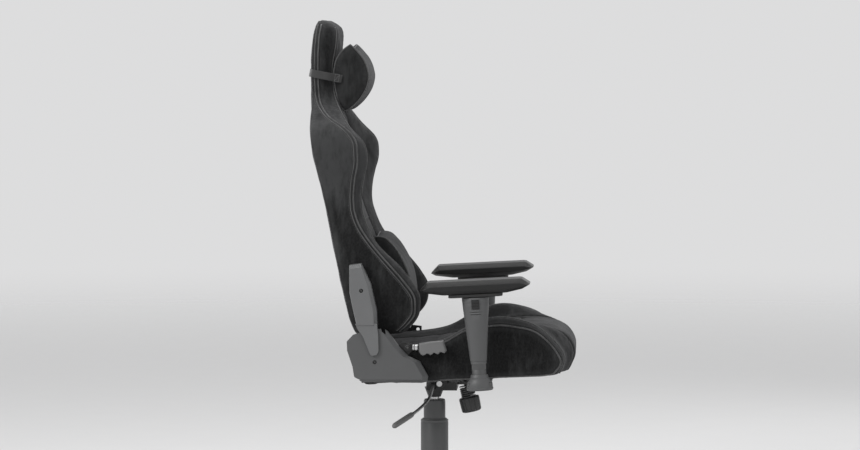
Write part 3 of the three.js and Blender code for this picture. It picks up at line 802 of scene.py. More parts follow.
def rounded_path(points: Sequence[Sequence[float]], per_span: int) -> np.ndarray:
    """A smooth line through points, with the same number of steps in each span.

    Args:
        points: The points that it passes through.
        per_span: Steps between neighbouring points.

    Returns:
        The line's points, one row each.
    """
    p = np.asarray(points, float)
    count = len(p)
    line = []
    for i in range(count - 1):
        a, b, c, d = p[max(i - 1, 0)], p[i], p[i + 1], p[min(i + 2, count - 1)]
        reach = np.linalg.norm(c - b)
        m1 = (c - a) / max(np.linalg.norm(b - a) + reach, 1e-9) * reach
        m2 = (d - b) / max(np.linalg.norm(d - c) + reach, 1e-9) * reach
        line += [hermite(k / per_span, b, c, m1, m2) for k in range(per_span)]
    return np.array([*line, p[-1]])


def lengths_along(line: np.ndarray) -> np.ndarray:
    """How far along a line each of its points lies."""
    return np.concatenate([[0], np.cumsum(np.linalg.norm(np.diff(line, axis=0), axis=1))])


def resampled(line: np.ndarray, step: float) -> np.ndarray:
    """A line's points spaced evenly along it, about step apart."""
    reach = lengths_along(line)
    count = max(2, ceil(reach[-1] / step))
    at = np.linspace(0, reach[-1], count + 1)
    return np.stack([np.interp(at, reach, line[:, k]) for k in range(line.shape[1])], 1)


# ------------------------------------------------------------------ upholstery
@dataclass(frozen=True)
class Thread(Finish):
    """Bonded polyester thread."""

    colour: Colour

    def material(self, name: str) -> bpy.types.Material:
        """The thread with a twist of lighter and darker fibres."""
        s = Shader(name)
        twist = s.noise(1500.0, 2.0, 0.6)
        base = s.mix(twist, scaled(self.colour, 0.6), self.colour)
        return s.finish(
            {"Sheen Weight": 0.3, "Specular IOR Level": 0.35},
            {
                "Base Color": base,
                "Roughness": 0.6 + twist * 0.2,
                "Normal": s.bump(twist, 0.0002, 0.5),
            },
        )


# Painted highlight: the piping is the cover's suede painted several times lighter, and lifted by
# its bias, so the cords read as lit lines; having no seam number, it also takes the painted crease
# shade.
PIPING_WITH_PAINTED_HIGHLIGHT = Suede(dark=grey(0.06), light=grey(0.19), stroke=40.0, sheen=0.4, painted_light_bias=0.1)
DARK_THREAD = Thread(grey(0.05))
REAR_THREAD = Thread(grey(0.12))
PILLOW_THREAD = Thread(grey(0.16))
TACK_THREAD = Thread(grey(0.22))
SEAM_STEP = 0.004
BOTH = (1, -1)


class Cushion:
    """A stuffed shell with seams, and the piping and stitches that are sewn to it."""

    last_frame = 20
    cloth = {
        "quality": 4,
        "mass": 0.3,
        "tension_stiffness": 12,
        "compression_stiffness": 12,
        "bending_stiffness": 0.6,
        "use_pressure": True,
        "uniform_pressure_force": 4.0,
    }

    def __init__(self, name: str, shape: Solid, voxel: float, seams: list[np.ndarray]) -> None:
        """Makes the shell.

        Args:
            name: The shell's name.
            shape: The closed shape that the cover is cut for.
            voxel: Size of its mesh in metres.
            seams: Lines in metres along which the cover is sewn.
        """
        self.shell = shape.piece(name)
        self.seams = [resampled(line, SEAM_STEP) for line in seams]
        voxel_remesh(self.shell, voxel)
        self.voxel = voxel
        self._surface: BVHTree | None = None

    def _seam_distance(self, points: np.ndarray) -> tuple[np.ndarray, np.ndarray]:
        """Distance of each point to its nearest seam, and how far along the seam that is."""
        samples = np.concatenate(self.seams)
        tree = KDTree(len(samples))
        for i, sample in enumerate(samples):
            tree.insert(sample, i)
        tree.balance()
        found = [tree.find(p) for p in points]
        return np.array([f[2] for f in found]), np.array([f[1] for f in found]) * SEAM_STEP

    def puff(
        self, cap: float, held: Callable[[np.ndarray], np.ndarray],
        limit: Callable[[np.ndarray], np.ndarray],
    ) -> None:
        """Swells the cover between its seams with a cloth simulation.

        Args:
            cap: The furthest that a point may move, in metres.
            held: Says which points rest on something and don't move.
            limit: Keeps the swollen points clear of the neighbours.
        """
        rest = coordinates(self.shell.data)
        distance, _ = self._seam_distance(rest)
        fixed = np.flatnonzero((distance < self.voxel * 1.1) | held(rest))
        group = self.shell.vertex_groups.new(name="held")
        group.add(fixed.tolist(), 1.0, "REPLACE")
        cloth = self.shell.modifiers.new("Cloth", "CLOTH")
        for key, value in self.cloth.items():
            setattr(cloth.settings, key, value)
        cloth.settings.vertex_group_mass = group.name
        cloth.settings.effector_weights.gravity = 0
        cloth.collision_settings.use_collision = False
        scene = bpy.context.scene
        for number in range(1, self.last_frame + 1):
            scene.frame_set(number)
        baked(self.shell)
        scene.frame_set(1)
        self.shell.vertex_groups.clear()
        moved = coordinates(self.shell.data) - rest
        length = np.linalg.norm(moved, axis=1, keepdims=True)
        rest = rest + moved * np.minimum(1, cap / np.maximum(length, 1e-9))
        self.shell.data.vertices.foreach_set("co", limit(rest).astype(np.float32).ravel())
        smooth = self.shell.modifiers.new("Relax", "SMOOTH")
        smooth.factor = 0.5
        smooth.iterations = 2
        finer = self.shell.modifiers.new("Finer", "SUBSURF")
        finer.levels = finer.render_levels = 1
        baked(self.shell)

    def brush(self, lay: Callable[[np.ndarray], np.ndarray]) -> None:
        """Stores painted light: how much lighter or darker the nap is painted at each point.

        Args:
            lay: Gives one number of painted light for each point, about -0.2 to 0.2.
        """
        mesh = self.shell.data
        # The painted light goes onto the points as an attribute that the suede reads.
        values = lay(coordinates(mesh)).astype(np.float32)
        mesh.attributes.new("nap_painted_light", "FLOAT", "POINT").data.foreach_set("value", values)

    def sew(self, depth: float = 0.0024, width: float = 0.0085, waves: float = 0.0006) -> None:
        """Pulls the cover in along its seams, puckers it beside them and lets it ripple.

        Args:
            depth: How deep a seam lies, in metres.
            width: How far its pull reaches.
            waves: Height of the loose ripples between seams.
        """
        mesh = self.shell.data
        points = coordinates(mesh)
        normals = np.empty(len(points) * 3, np.float32)
        mesh.vertices.foreach_get("normal", normals)
        normals = normals.reshape(-1, 3)
        distance, along = self._seam_distance(points)
        near = np.clip(1 - distance / width, 0, 1)
        ripple, fine = (
            np.array([noise.noise(Vector(p) * grain) for p in points]) for grain in (26.0, 85.0)
        )
        pucker_pitch, pucker_height, pucker_from_seam, pucker_spread = 0.013, 0.00035, 0.009, 0.006
        pucker = np.sin(along * (2 * pi / pucker_pitch) + ripple * 5)
        band = np.exp(-(((distance - pucker_from_seam) / pucker_spread) ** 2))
        away = np.clip(distance / 0.03, 0, 1)
        lift = -depth * near**1.6 + pucker * band * pucker_height
        lift = lift + away * (ripple * waves * 2 + fine * waves * 0.5)
        moved = points + normals * lift[:, None]
        mesh.vertices.foreach_set("co", moved.astype(np.float32).ravel())
        mesh.attributes.new("seam", "FLOAT", "POINT").data.foreach_set(
            "value", distance.astype(np.float32)
        )
        mesh.update()
        faces = [tuple(p.vertices) for p in mesh.polygons]
        self._surface = BVHTree.FromPolygons([Vector(p) for p in moved], faces)

    def lay(
        self, line: np.ndarray, lift: float, aside: float = 0.0, step: float = 0.005
    ) -> list[Vector]:
        """A line laid on the cover.

        Args:
            line: Points near the cover, in metres.
            lift: Height above the cover.
            aside: Distance that the line is moved to its left on the cover.
            step: Spacing of the result.

        Returns:
            The laid points.
        """
        line = resampled(line, step)
        ahead = np.gradient(line, axis=0)
        laid = []
        for point, along in zip(line, ahead):
            at, normal, _, _ = self._surface.find_nearest(Vector(point))
            if aside:
                across = normal.cross(Vector(along)).normalized()
                at, normal, _, _ = self._surface.find_nearest(at + across * aside)
            laid.append(at + normal * lift)
        smooth = np.array(laid)
        for _ in range(2):
            smooth[1:-1] = (smooth[:-2] + 2 * smooth[1:-1] + smooth[2:]) / 4
        return [Vector(p) for p in smooth]

    def piping(
        self, name: str, lines: Iterable[np.ndarray], radius: float = 0.0021, aside: float = 0.0,
        lift: float = 0.35,
    ) -> bpy.types.Object:
        """Covered cord along seams.

        Args:
            name: The piece's name.
            lines: The seams that it follows.
            radius: The cord's radius in metres.
            aside: Distance from the seam.
            lift: Height of its middle above the cover, as a share of its radius.

        Returns:
            The cord.
        """
        cord = Solid()
        for line in lines:
            cord.swept(self.lay(line, radius * lift, aside), radius, 8)
        return cord.piece(name, 180)

    def stitches(
        self, name: str, lines: Iterable[np.ndarray], aside: float, pitch: float = 0.0058,
        thread: float = 0.00055,
    ) -> bpy.types.Object:
        """A row of stitches beside seams.

        Args:
            name: The piece's name.
            lines: The seams that the row follows.
            aside: Distance from the seam; the sign says on which side.
            pitch: Length from one stitch to the next.
            thread: The thread's radius.

        Returns:
            The stitches as one mesh.
        """
        row = Solid()
        for line in lines:
            laid = self.lay(line, thread * 0.5, aside, pitch)
            for a, b in zip(laid, laid[1:]):
                run = b - a
                if run.length < pitch * 0.4:
                    continue
                path = [a + run * share for share in (0.1, 0.22, 0.72, 0.84)]
                row.swept(path, [thread * 0.3, thread, thread, thread * 0.3], 5)
        return row.piece(name, 60)


def arc(a: Pair, b: Pair, bulge: float, steps: int) -> Outline:
    """Points from a up to b, but without b, along a chord that bulges to its left."""
    du, dv = b[0] - a[0], b[1] - a[1]
    length = max(hypot(du, dv), 1e-9)
    left = (-dv / length, du / length)
    points = []
    for k in range(steps):
        t = k / steps
        out = 4 * bulge * t * (1 - t)
        points.append((a[0] + du * t + left[0] * out, a[1] + dv * t + left[1] * out))
    return points


def towards(ring: list[Vector], inset: float, shift: Vector) -> list[Vector]:
    """A ring drawn in towards its middle by inset metres, and shifted."""
    middle = sum(ring, Vector()) / len(ring)
    drawn = []
    for p in ring:
        reach = (p - middle).length
        drawn.append(p + (middle - p) * min(0.9, inset / max(reach, 1e-6)) + shift)
    return drawn


@dataclass
class Back:
    """The backrest's cover and its seams.

    Each level holds z, half-width, and the y of the rear, the side seam, the
    bolster's crest and the middle panel, in millimetres.
    """

    levels: tuple[tuple[float, ...], ...] = (
        (534, 232, 183, 84, 74, 112),
        (560, 250, 194, 54, 44, 118),
        (590, 254, 203, 35, 28, 126),
        (622, 254, 210, 36, 26, 130),
        (660, 254, 219, 59, 44, 134),
        (700, 252, 227, 94, 76, 140),
        (754, 247, 239, 140, 133, 152),
        (800, 242, 248, 172, 158, 170),
        (858, 240, 260, 187, 172, 190),
        (910, 250, 272, 184, 166, 203),
        (960, 270, 283, 175, 154, 212),
        (1003, 281, 290, 177, 162, 219),
        (1037, 272, 293, 202, 195, 224),
        (1064, 236, 294, 245, 214, 229),
        (1090, 186, 295, 268, 231, 235),
        (1115, 158, 297, 277, 242, 243),
        (1140, 152, 298, 279, 246, 246),
        (1175, 151, 299, 280, 249, 248),
        (1240, 149, 296, 279, 240, 240),
        (1268, 142, 293, 277, 238, 237),
        (1290, 125, 288, 274, 248, 247),
        (1301, 100, 283, 276, 266, 270),
    )
    slack: float = 4.5
    rear_rise: float = 1.5
    rear_fall: float = 4.0
    crest_inset: float = 28.0
    crest_rise: float = 3.0
    voxel: float = 0.0068
    cap: float = 0.011
    headrest_seam: float = 1084.0
    lumbar_seam: float = 800.0
    bracket_top: float = 720.0
    widest_at_bracket: float = 257.5
    widest: float = 290.0

    def level(self, z: float) -> dict[str, float]:
        """The widths and depths at one height."""
        table = np.array(self.levels)
        names = ("half", "rear", "seam", "bolster", "middle")
        values = {
            key: float(curve_at(np.array([z]), table[:, 0], table[:, i + 1])[0])
            for i, key in enumerate(names)
        }
        values["half"] -= self.slack
        return values

    def _rear_edge(self, v: dict[str, float]) -> Pair:
        """Where the side panel meets the rear, as (x, y)."""
        return v["half"], max(v["rear"] + self.rear_rise - self.rear_fall, v["seam"] + 3)

    def _crest(self, v: dict[str, float]) -> Pair:
        """The foremost line of the bolster, as (x, y)."""
        return v["half"] - self.crest_inset, v["bolster"] - self.crest_rise

    @staticmethod
    def _valley(v: dict[str, float]) -> Pair:
        """Where the bolster meets the middle panel, as (x, y)."""
        return max(v["half"] - 106, 22), v["middle"]

    def section(self, z: float) -> list[Vector]:
        """The outline at one height, from the middle of the rear round to it again."""
        v = self.level(z)
        half, rear, seam = v["half"], v["rear"] + self.rear_rise, v["seam"]
        edge = self._rear_edge(v)[1]
        crest = self._crest(v)
        inner = (max(half - 72, 42), (v["bolster"] + v["middle"]) / 2)
        valley = (self._valley(v)[0], v["middle"] + 2)
        corners = [
            ((0.0, rear), 0.6, 8), ((0.78 * half, rear), 1.2, 5),
            ((half, edge), min(4.0, (edge - seam) * 0.035), 12), ((half, seam), 1.5, 5),
            (crest, 3.0, 8), (inner, 2.0, 5), (valley, 1.0, 8),
        ]
        ends = [c[0] for c in corners[1:]] + [(0.0, v["middle"] + 3)]
        right: Outline = []
        for (start, bulge, steps), end in zip(corners, ends):
            right += arc(start, end, bulge, steps)
        right.append(ends[-1])
        left = [(-x, y) for x, y in reversed(right[1:-1])]
        return [mm(x, y, z) for x, y in right + left]

    def shape(self) -> Solid:
        """The closed shape that the cover is cut for."""
        low, high = self.levels[0][0], self.levels[-1][0]
        heights = np.linspace(low + 5, high - 2.5, 112)
        rings = [self.section(z) for z in heights]
        bottom = [towards(rings[0], 0.009, mm(0, 0, -4.5)), towards(rings[0], 0.0025, mm(0, 0, -3))]
        top = [towards(rings[-1], 0.002, mm(0, 0, 1.2)), towards(rings[-1], 0.006, mm(0, 0, 2))]
        return Solid().skin(bottom + rings + top)

    def line(
        self, place: Callable[[dict[str, float]], Pair], low: float, high: float
    ) -> list[np.ndarray]:
        """The lines up both sides of the back through a point of each section."""
        lines = []
        for s in BOTH:
            points = []
            for z in np.arange(low, high, 6.0):
                x, y = place(self.level(z))
                points.append(mm(s * x, y, z))
            lines.append(np.array(points))
        return lines

    def _across(self, z: float) -> np.ndarray:
        """A line across the middle panel at one height."""
        v = self.level(z)
        reach = np.linspace(-1, 1, 40) * max(v["half"] - 108, 22)
        return np.array([mm(x, v["middle"] + 3, z) for x in reach])

    def seams(self) -> dict[str, list[np.ndarray]]:
        """The seams by kind, in metres."""
        top = self.level(1298.5)
        return {
            "edge": self.line(lambda v: (v["half"], v["seam"]), 541, 1297),
            "crest": self.line(self._crest, 541, 1290),
            "valley": self.line(self._valley, 548, 1080),
            "rear": self.line(self._rear_edge, 541, 1292),
            "crown": [np.array([
                mm(x, top["seam"], 1300.5 - 1.5 * abs(x / top["half"]))
                for x in np.linspace(-top["half"], top["half"], 30)
            ])],
            "across": [self._across(self.headrest_seam), self._across(self.lumbar_seam)],
        }

    def _limit(self, points: np.ndarray) -> np.ndarray:
        """Keeps the cover clear of the hinge brackets and the head strap, and in its height."""
        kept = points.copy()
        low, high, strap_height, strap_reach, strap_y = 0.5325, 1.303, 1.165, 0.035, 0.3005
        at_bracket = points[:, 2] < self.bracket_top * 0.001
        widest = np.where(at_bracket, self.widest_at_bracket, self.widest) * 0.001
        kept[:, 0] = np.clip(kept[:, 0], -widest, widest)
        kept[:, 2] = np.clip(kept[:, 2], low, high)
        strapped = np.abs(points[:, 2] - strap_height) < strap_reach
        kept[strapped, 1] = np.minimum(kept[strapped, 1], strap_y)
        return kept

    @staticmethod
    def _painted_light(points: np.ndarray) -> np.ndarray:
        """Painted light: the nap is painted lighter at shoulder height and darker towards both
        ends.
        """
        shoulder_height, spread = 0.96, 0.15
        rise = np.exp(-(((points[:, 2] - shoulder_height) / spread) ** 2))
        return 0.23 * rise - 0.11

    def build(self) -> None:
        """Makes the cover with its piping and stitches."""
        seams = self.seams()
        every = [line for lines in seams.values() for line in lines]
        cushion = Cushion("back_cover", self.shape(), self.voxel, every)
        cushion.puff(self.cap, lambda p: p[:, 2] < 0.546, self._limit)
        cushion.sew()
        # Paints light on the back cover: lighter at the shoulders, darker at both ends.
        cushion.brush(self._painted_light)
        stand_in(cushion.shell, "backrest", Slot.SUEDE, "back_cushion")
        sew_on = partial(stand_in, body="backrest", slot=Slot.SUEDE)
        edge = seams["edge"] + seams["crown"]
        sew_on(cushion.piping("back_edge_piping", edge), finish=PIPING_WITH_PAINTED_HIGHLIGHT)
        for s, line in zip(BOTH, seams["edge"]):
            welt = cushion.piping(
                f"back_side_welt_{s + 2}", [line], 0.0014, aside=-s * 0.0085, lift=0.1
            )
            sew_on(welt, finish=PIPING_WITH_PAINTED_HIGHLIGHT)
            row = cushion.stitches(f"back_edge_stitches_{s + 2}", [line], -s * 0.0125)
            sew_on(row, finish=DARK_THREAD)
        sew_on(cushion.piping("back_crest_piping", seams["crest"], 0.0018), finish=PIPING_WITH_PAINTED_HIGHLIGHT)
        for s, line in zip(BOTH, seams["rear"]):
            row = cushion.stitches(
                f"back_rear_stitches_{s + 2}", [line], -s * 0.004, pitch=0.0075, thread=0.0009
            )
            sew_on(row, finish=REAR_THREAD)
        for s, line in zip(BOTH, seams["valley"]):
            row = cushion.stitches(f"back_valley_stitches_{s + 2}", [line], -s * 0.005)
            sew_on(row, finish=DARK_THREAD)
        row = cushion.stitches("back_cross_stitches", seams["across"], 0.005)
        sew_on(row, finish=DARK_THREAD)


SEAT_PITCH = 3.0
PITCH_HEIGHT = 400.0


def pitched() -> Matrix:
    """Places what is drawn level on the seat, which is raised at the front."""
    height = mm(0, 0, PITCH_HEIGHT)
    return (
        Matrix.Translation(height)
        @ Matrix.Rotation(-radians(SEAT_PITCH), 4, "X")
        @ Matrix.Translation(-height)
    )


@dataclass
class Seat:
    """The seat cushion's cover. Outlines are (y, z) in the seat's own level frame."""

    centre: tuple[Pair, ...] = (
        (160, 421), (172, 455), (165, 490), (120, 497), (40, 497), (-60, 505),
        (-160, 523), (-225, 535), (-300, 530), (-340, 512), (-359, 470), (-339, 421),
    )
    crest: tuple[Pair, ...] = (
        (160, 421), (172, 455), (165, 492), (120, 505), (10, 512), (-40, 521),
        (-95, 548), (-155, 569), (-205, 566), (-270, 540), (-330, 470), (-318, 421),
    )
    side: tuple[Pair, ...] = (
        (160, 421), (172, 455), (165, 488), (120, 500), (10, 503), (-41, 518),
        (-92, 543), (-158, 551), (-198, 549), (-270, 527), (-323, 456), (-300, 421),
    )
    half_width: float = 258.0
    crest_x: float = 224.0
    valley_x: float = 150.0
    slack: float = 5.0
    voxel: float = 0.0066
    cap: float = 0.011
    spans: int = 9
    nose_seam: int = 7
    place: Matrix = field(default_factory=pitched)

    def profile(self, x: float) -> np.ndarray:
        """The outline over the top from the rear to the front, at one X."""
        rows = [rounded_path(o, self.spans) for o in (self.centre, self.crest, self.side)]
        mixed = [
            rows[0], rows[0], rows[0] * 0.65 + rows[1] * 0.35, rows[0] * 0.15 + rows[1] * 0.85,
            rows[1], rows[1] * 0.4 + rows[2] * 0.6, rows[2],
        ]
        at = [0, 130, 165, 198, self.crest_x, 248, self.half_width]
        stack = np.stack(mixed)
        reach = np.array([min(abs(x), self.half_width)])
        flat = stack.reshape(len(at), -1)
        values = [float(curve_at(reach, at, flat[:, k])[0]) for k in range(flat.shape[1])]
        return np.array(values).reshape(-1, 2)

    def _ring(self, x: float, outline: np.ndarray) -> list[Vector]:
        """One outline at one X, placed on the pitched seat."""
        return [self.place @ mm(x, y, z) for y, z in outline]

    def shape(self) -> Solid:
        """The closed shape that the cover is cut for; build carves the pocket for the frame."""
        edge = self.half_width - self.slack
        rings = []
        outer = self.profile(self.half_width)
        middle = np.array([-80.0, 480.0])
        crown = [(0.35, 4.0), (0.6, 3.4), (0.82, 2.2), (0.94, 0.9)]
        for share, rise in crown:
            rings.append(self._ring(-edge - rise, middle + (outer - middle) * share))
        for x in np.linspace(-edge, edge, 84):
            rings.append(self._ring(x, self.profile(x * self.half_width / edge)))
        for share, rise in reversed(crown):
            rings.append(self._ring(edge + rise, middle + (outer - middle) * share))
        return Solid().skin(rings)

    def line(self, x: float, first: int, last: int, sign: int) -> np.ndarray:
        """A line along the outline at one X, between two of its drawn points."""
        part = self.profile(x)[first * self.spans: last * self.spans + 1]
        reach = sign * x * (self.half_width - self.slack) / self.half_width
        return np.array([self.place @ mm(reach, y, z) for y, z in part])

    def seams(self) -> dict[str, list[np.ndarray]]:
        """The seams by kind, in metres."""
        edge = self.half_width - self.slack
        below = [
            np.array([self.place @ mm(s * edge, y, 421) for y in np.linspace(-300, 150, 80)])
            for s in BOTH
        ]
        nose = np.array([
            self.place @ mm(x, *self.profile(abs(x))[self.nose_seam * self.spans])
            for x in np.linspace(-self.valley_x, self.valley_x, 60)
        ])
        return {
            "edge": [self.line(self.half_width, 2, 11, s) for s in BOTH],
            "below": below,
            "crest": [self.line(self.crest_x, 3, 11, s) for s in BOTH],
            "valley": [self.line(self.valley_x, 2, 11, s) for s in BOTH],
            "nose": [nose],
        }

    def _held(self, points: np.ndarray) -> np.ndarray:
        """The underside and the pocket, which rest on the frame."""
        lift = self.place.inverted()
        rotation = np.array(lift.to_3x3())
        level = points @ rotation.T + np.array(lift.translation)
        return level[:, 2] < 0.4525

    def _limit(self, points: np.ndarray) -> np.ndarray:
        """Keeps the cover clear of the hinge brackets."""
        kept = points.copy()
        kept[:, 0] = np.clip(kept[:, 0], -0.2595, 0.2595)
        return kept

    def build(self) -> None:
        """Makes the cover with its piping and stitches."""
        seams = self.seams()
        every = [line for lines in seams.values() for line in lines]
        cushion = Cushion("seat_cover", self.shape(), self.voxel, every)
        pocket = Solid().box((-216, -286, 395), (216, 136, 447), self.place)
        carve(cushion.shell, pocket)
        crossing = Solid().box((-275, 96, 395), (275, 126, 447), self.place)
        carve(cushion.shell, crossing)
        voxel_remesh(cushion.shell, self.voxel)
        cushion.puff(self.cap, self._held, self._limit)
        cushion.sew()
        # Painted shade: the seat's suede is painted darker all over than the back's.
        cushion.brush(lambda p: np.full(len(p), -0.13))
        stand_in(cushion.shell, "seat", Slot.SUEDE, "seat_cushion")
        sew_on = partial(stand_in, body="seat", slot=Slot.SUEDE)
        edge = cushion.piping("seat_edge_piping", seams["edge"] + seams["below"])
        sew_on(edge, finish=PIPING_WITH_PAINTED_HIGHLIGHT)
        sew_on(cushion.piping("seat_crest_piping", seams["crest"], 0.0019), finish=PIPING_WITH_PAINTED_HIGHLIGHT)
        for s, line, valley in zip(BOTH, seams["edge"], seams["valley"]):
            row = cushion.stitches(f"seat_edge_stitches_{s + 2}", [line], -s * 0.009)
            sew_on(row, finish=DARK_THREAD)
            row = cushion.stitches(f"seat_valley_stitches_{s + 2}", [valley], s * 0.005)
            sew_on(row, finish=DARK_THREAD)
        row = cushion.stitches("seat_nose_stitches", seams["nose"], 0.005)
        sew_on(row, finish=DARK_THREAD)


@dataclass
class Pillow:
    """A loose pillow with flat ends and a piped outline.

    The outline is (y, z) in millimetres, from the top corner down the front to
    the bottom corner, and then up the rear.
    """

    name: str
    node: str
    front: tuple[Pair, ...]
    rear: tuple[Pair, ...]
    half: float
    end: float = 6.0
    droop: float = 9.0
    voxel: float = 0.0046
    cap: float = 0.007
    spans: int = 6

    def outline(self) -> np.ndarray:
        """The closed outline of an end, with sharp corners at the top and bottom."""
        front = rounded_path(self.front, self.spans)
        rear = rounded_path((self.front[-1], *self.rear, self.front[0]), self.spans)
        return np.concatenate([front, rear[1:-1]])

    def _ring(self, x: float, share: float = 1.0) -> list[Vector]:
        """The outline at one X, its corners pulled in away from the ends."""
        outline = self.outline()
        middle = (outline.min(0) + outline.max(0)) / 2
        reach = outline[:, 1].max() - middle[1]
        sag = self.droop * (1 - min(1.0, abs(x) / (self.half - self.end)) ** 2)
        ring = []
        for y, z in middle + (outline - middle) * share:
            height = (z - middle[1]) / reach
            ring.append(mm(x, y, z - sag * height * abs(height)))
        return ring

    def shape(self) -> Solid:
        """The closed shape that the cover is cut for."""
        flat = self.half - self.end
        crown = [(0.3, self.end * 0.8), (0.6, self.end * 0.65), (0.85, self.end * 0.35)]
        rings = [self._ring(-flat - rise, share) for share, rise in crown]
        rings += [self._ring(x) for x in np.linspace(-flat, flat, 48)]
        rings += [self._ring(flat + rise, share) for share, rise in reversed(crown)]
        return Solid().skin(rings)

    def seams(self) -> dict[str, list[np.ndarray]]:
        """The seams round both ends and along the top and bottom corners."""
        flat = self.half - self.end
        ends = []
        for x in (flat, -flat):
            ring = [np.array(p) for p in self._ring(x)]
            ends.append(np.array(ring + ring[:1]))
        corners = []
        for index in (0, (len(self.front) - 1) * self.spans):
            corners.append(np.array([self._ring(x)[index] for x in np.linspace(-flat, flat, 40)]))
        return {"ends": ends, "corners": corners}

    def _limit(self, points: np.ndarray) -> np.ndarray:
        """Keeps the cover within a few millimetres of the frame's node."""
        low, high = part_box(self.node)
        return np.clip(points, np.array(low) - 0.005, np.array(high) + 0.004)

    def build(self) -> None:
        """Makes the pillow with its piping and stitches."""
        seams = self.seams()
        every = seams["ends"] + seams["corners"]
        cushion = Cushion(f"{self.name}_cover", self.shape(), self.voxel, every)
        cushion.puff(self.cap, lambda p: np.zeros(len(p), bool), self._limit)
        cushion.sew(0.0016, 0.007, 0.0005)
        stand_in(cushion.shell, "backrest", Slot.PILLOW_SUEDE, self.node)
        cord = cushion.piping(f"{self.name}_piping", every, 0.0017, lift=0.45)
        stand_in(cord, "backrest", Slot.PILLOW_SUEDE, finish=PIPING_WITH_PAINTED_HIGHLIGHT)
        row = cushion.stitches(f"{self.name}_stitches", seams["corners"], 0.006)
        stand_in(row, "backrest", Slot.PILLOW_SUEDE, finish=PILLOW_THREAD)


# ------------------------------------------------------------------ straps
HEAD_STRAP_SLOPE = 11.0


@dataclass
class Strap:
    """A flat band laid along a path of points in millimetres."""

    name: str
    node: str
    path: tuple[tuple[float, float, float], ...]
    across: tuple[float, float, float]
    width: float
    thickness: float
    finish: Webbing

    def rings(self) -> tuple[list[list[Vector]], list[float], list[float]]:
        """The band's sections, and how far along and across each point lies."""
        line = resampled(rounded_path(self.path, 10), 4.0)
        along = lengths_along(line)
        ahead = np.gradient(line, axis=0)
        wide = Vector(self.across).normalized()
        half, thick, steps = self.width / 2, self.thickness, 8
        section = [(-half + self.width * k / steps, 0.0) for k in range(steps + 1)]
        section[0], section[-1] = (-half, thick * 0.3), (half, thick * 0.3)
        section.insert(1, (-half + thick * 0.3, 0.0))
        section.insert(-1, (half - thick * 0.3, 0.0))
        section += [(u, thick - v) for u, v in reversed(section)]
        rings, lengths, widths = [], [], []
        for point, forward, reach in zip(line, ahead, along):
            normal = Vector(forward).cross(wide).normalized()
            rings.append([(Vector(point) + wide * u + normal * v) * 0.001 for u, v in section])
            lengths += [reach * 0.001] * len(section)
            widths += [(u + half) * 0.001 for u, _ in section]
        return rings, lengths, widths

    def build(self) -> None:
        """Makes the band with its stitched ends."""
        rings, lengths, widths = self.rings()
        band = Solid().skin(rings)
        band.stored = {"along": lengths, "across": widths}
        strip = band.piece(self.name, 50)
        stand_in(strip, "backrest", Slot.WEBBING, self.node, finish=self.finish)
        flat = (self.width * 0.001, lengths[-1])
        log.info("%s is cut %.1f by %.1f mm", self.name, flat[0] * 1000, flat[1] * 1000)
        tacks = Solid()
        for ring, nearer in ((rings[2], rings[5]), (rings[-3], rings[-6])):
            top, low = ring[len(ring) // 2:], nearer[len(nearer) // 2:]
            corners = [top[1], top[-2], low[-2], low[1], top[1], low[-2]]
            for a, b in zip(corners, corners[1:]):
                run = b - a
                count = max(2, round(run.length / 0.003))
                for k in range(count):
                    path = [a + run * ((k + share) / count) for share in (0.1, 0.3, 0.65, 0.85)]
                    tacks.swept(path, [0.0002, 0.0004, 0.0004, 0.0002], 5)
        row = tacks.piece(f"{self.name}_bar_tacks", 60)
        stand_in(row, "backrest", Slot.WEBBING, finish=TACK_THREAD)


def head_strap_path() -> tuple[tuple[float, float, float], ...]:
    """The elastic band's path round the back of the headrest, which it crosses at a slope."""
    half = [
        (133, 222), (142, 237), (154, 253), (155.8, 268), (155.5, 285), (151, 294.5), (118, 302),
    ]
    rear, height = 299, 1171
    place = (
        Matrix.Translation(Vector((0, rear, height)))
        @ Matrix.Rotation(radians(HEAD_STRAP_SLOPE), 4, "X")
        @ Matrix.Translation(Vector((0, -rear, 0)))
    )
    flat = half + [(60, 302.4), (0, 302.6), (-60, 302.4)]
    flat += [(-x, y) for x, y in reversed(half)]
    return tuple(tuple(place @ Vector((x, y, 0))) for x, y in flat)


# ------------------------------------------------------------------ small hardware
def along_x(at: Pair, sign: int = 1) -> Matrix:
    """Turns local Z to the chair's side at (y, z) in millimetres."""
    return Matrix.Translation(mm(0, *at)) @ Matrix.Rotation(sign * pi / 2, 4, "Y")


def socket_screw(solid: Solid, place: Matrix, radius: float, top: float) -> Solid:
    """Adds a button-head screw with a hexagon socket.

    Args:
        solid: What it is added to.
        place: Its axis as local Z.
        radius: Radius of the head in millimetres.
        top: Height of the head's top.

    Returns:
        The same solid.
    """
    head = [(0, top - 3.2), (radius, top - 3.2), (radius, top - 1.6), (radius * 0.86, top - 0.6)]
    solid.turned(head + [(radius * 0.66, top), (radius * 0.5, top)], place, 24)
    flats = radius * 0.46
    hexagon = [(radius * 0.5, top), (flats, top - 0.3), (flats, top - 2.0), (0, top - 2.0)]
    return solid.turned(hexagon, place, 6)


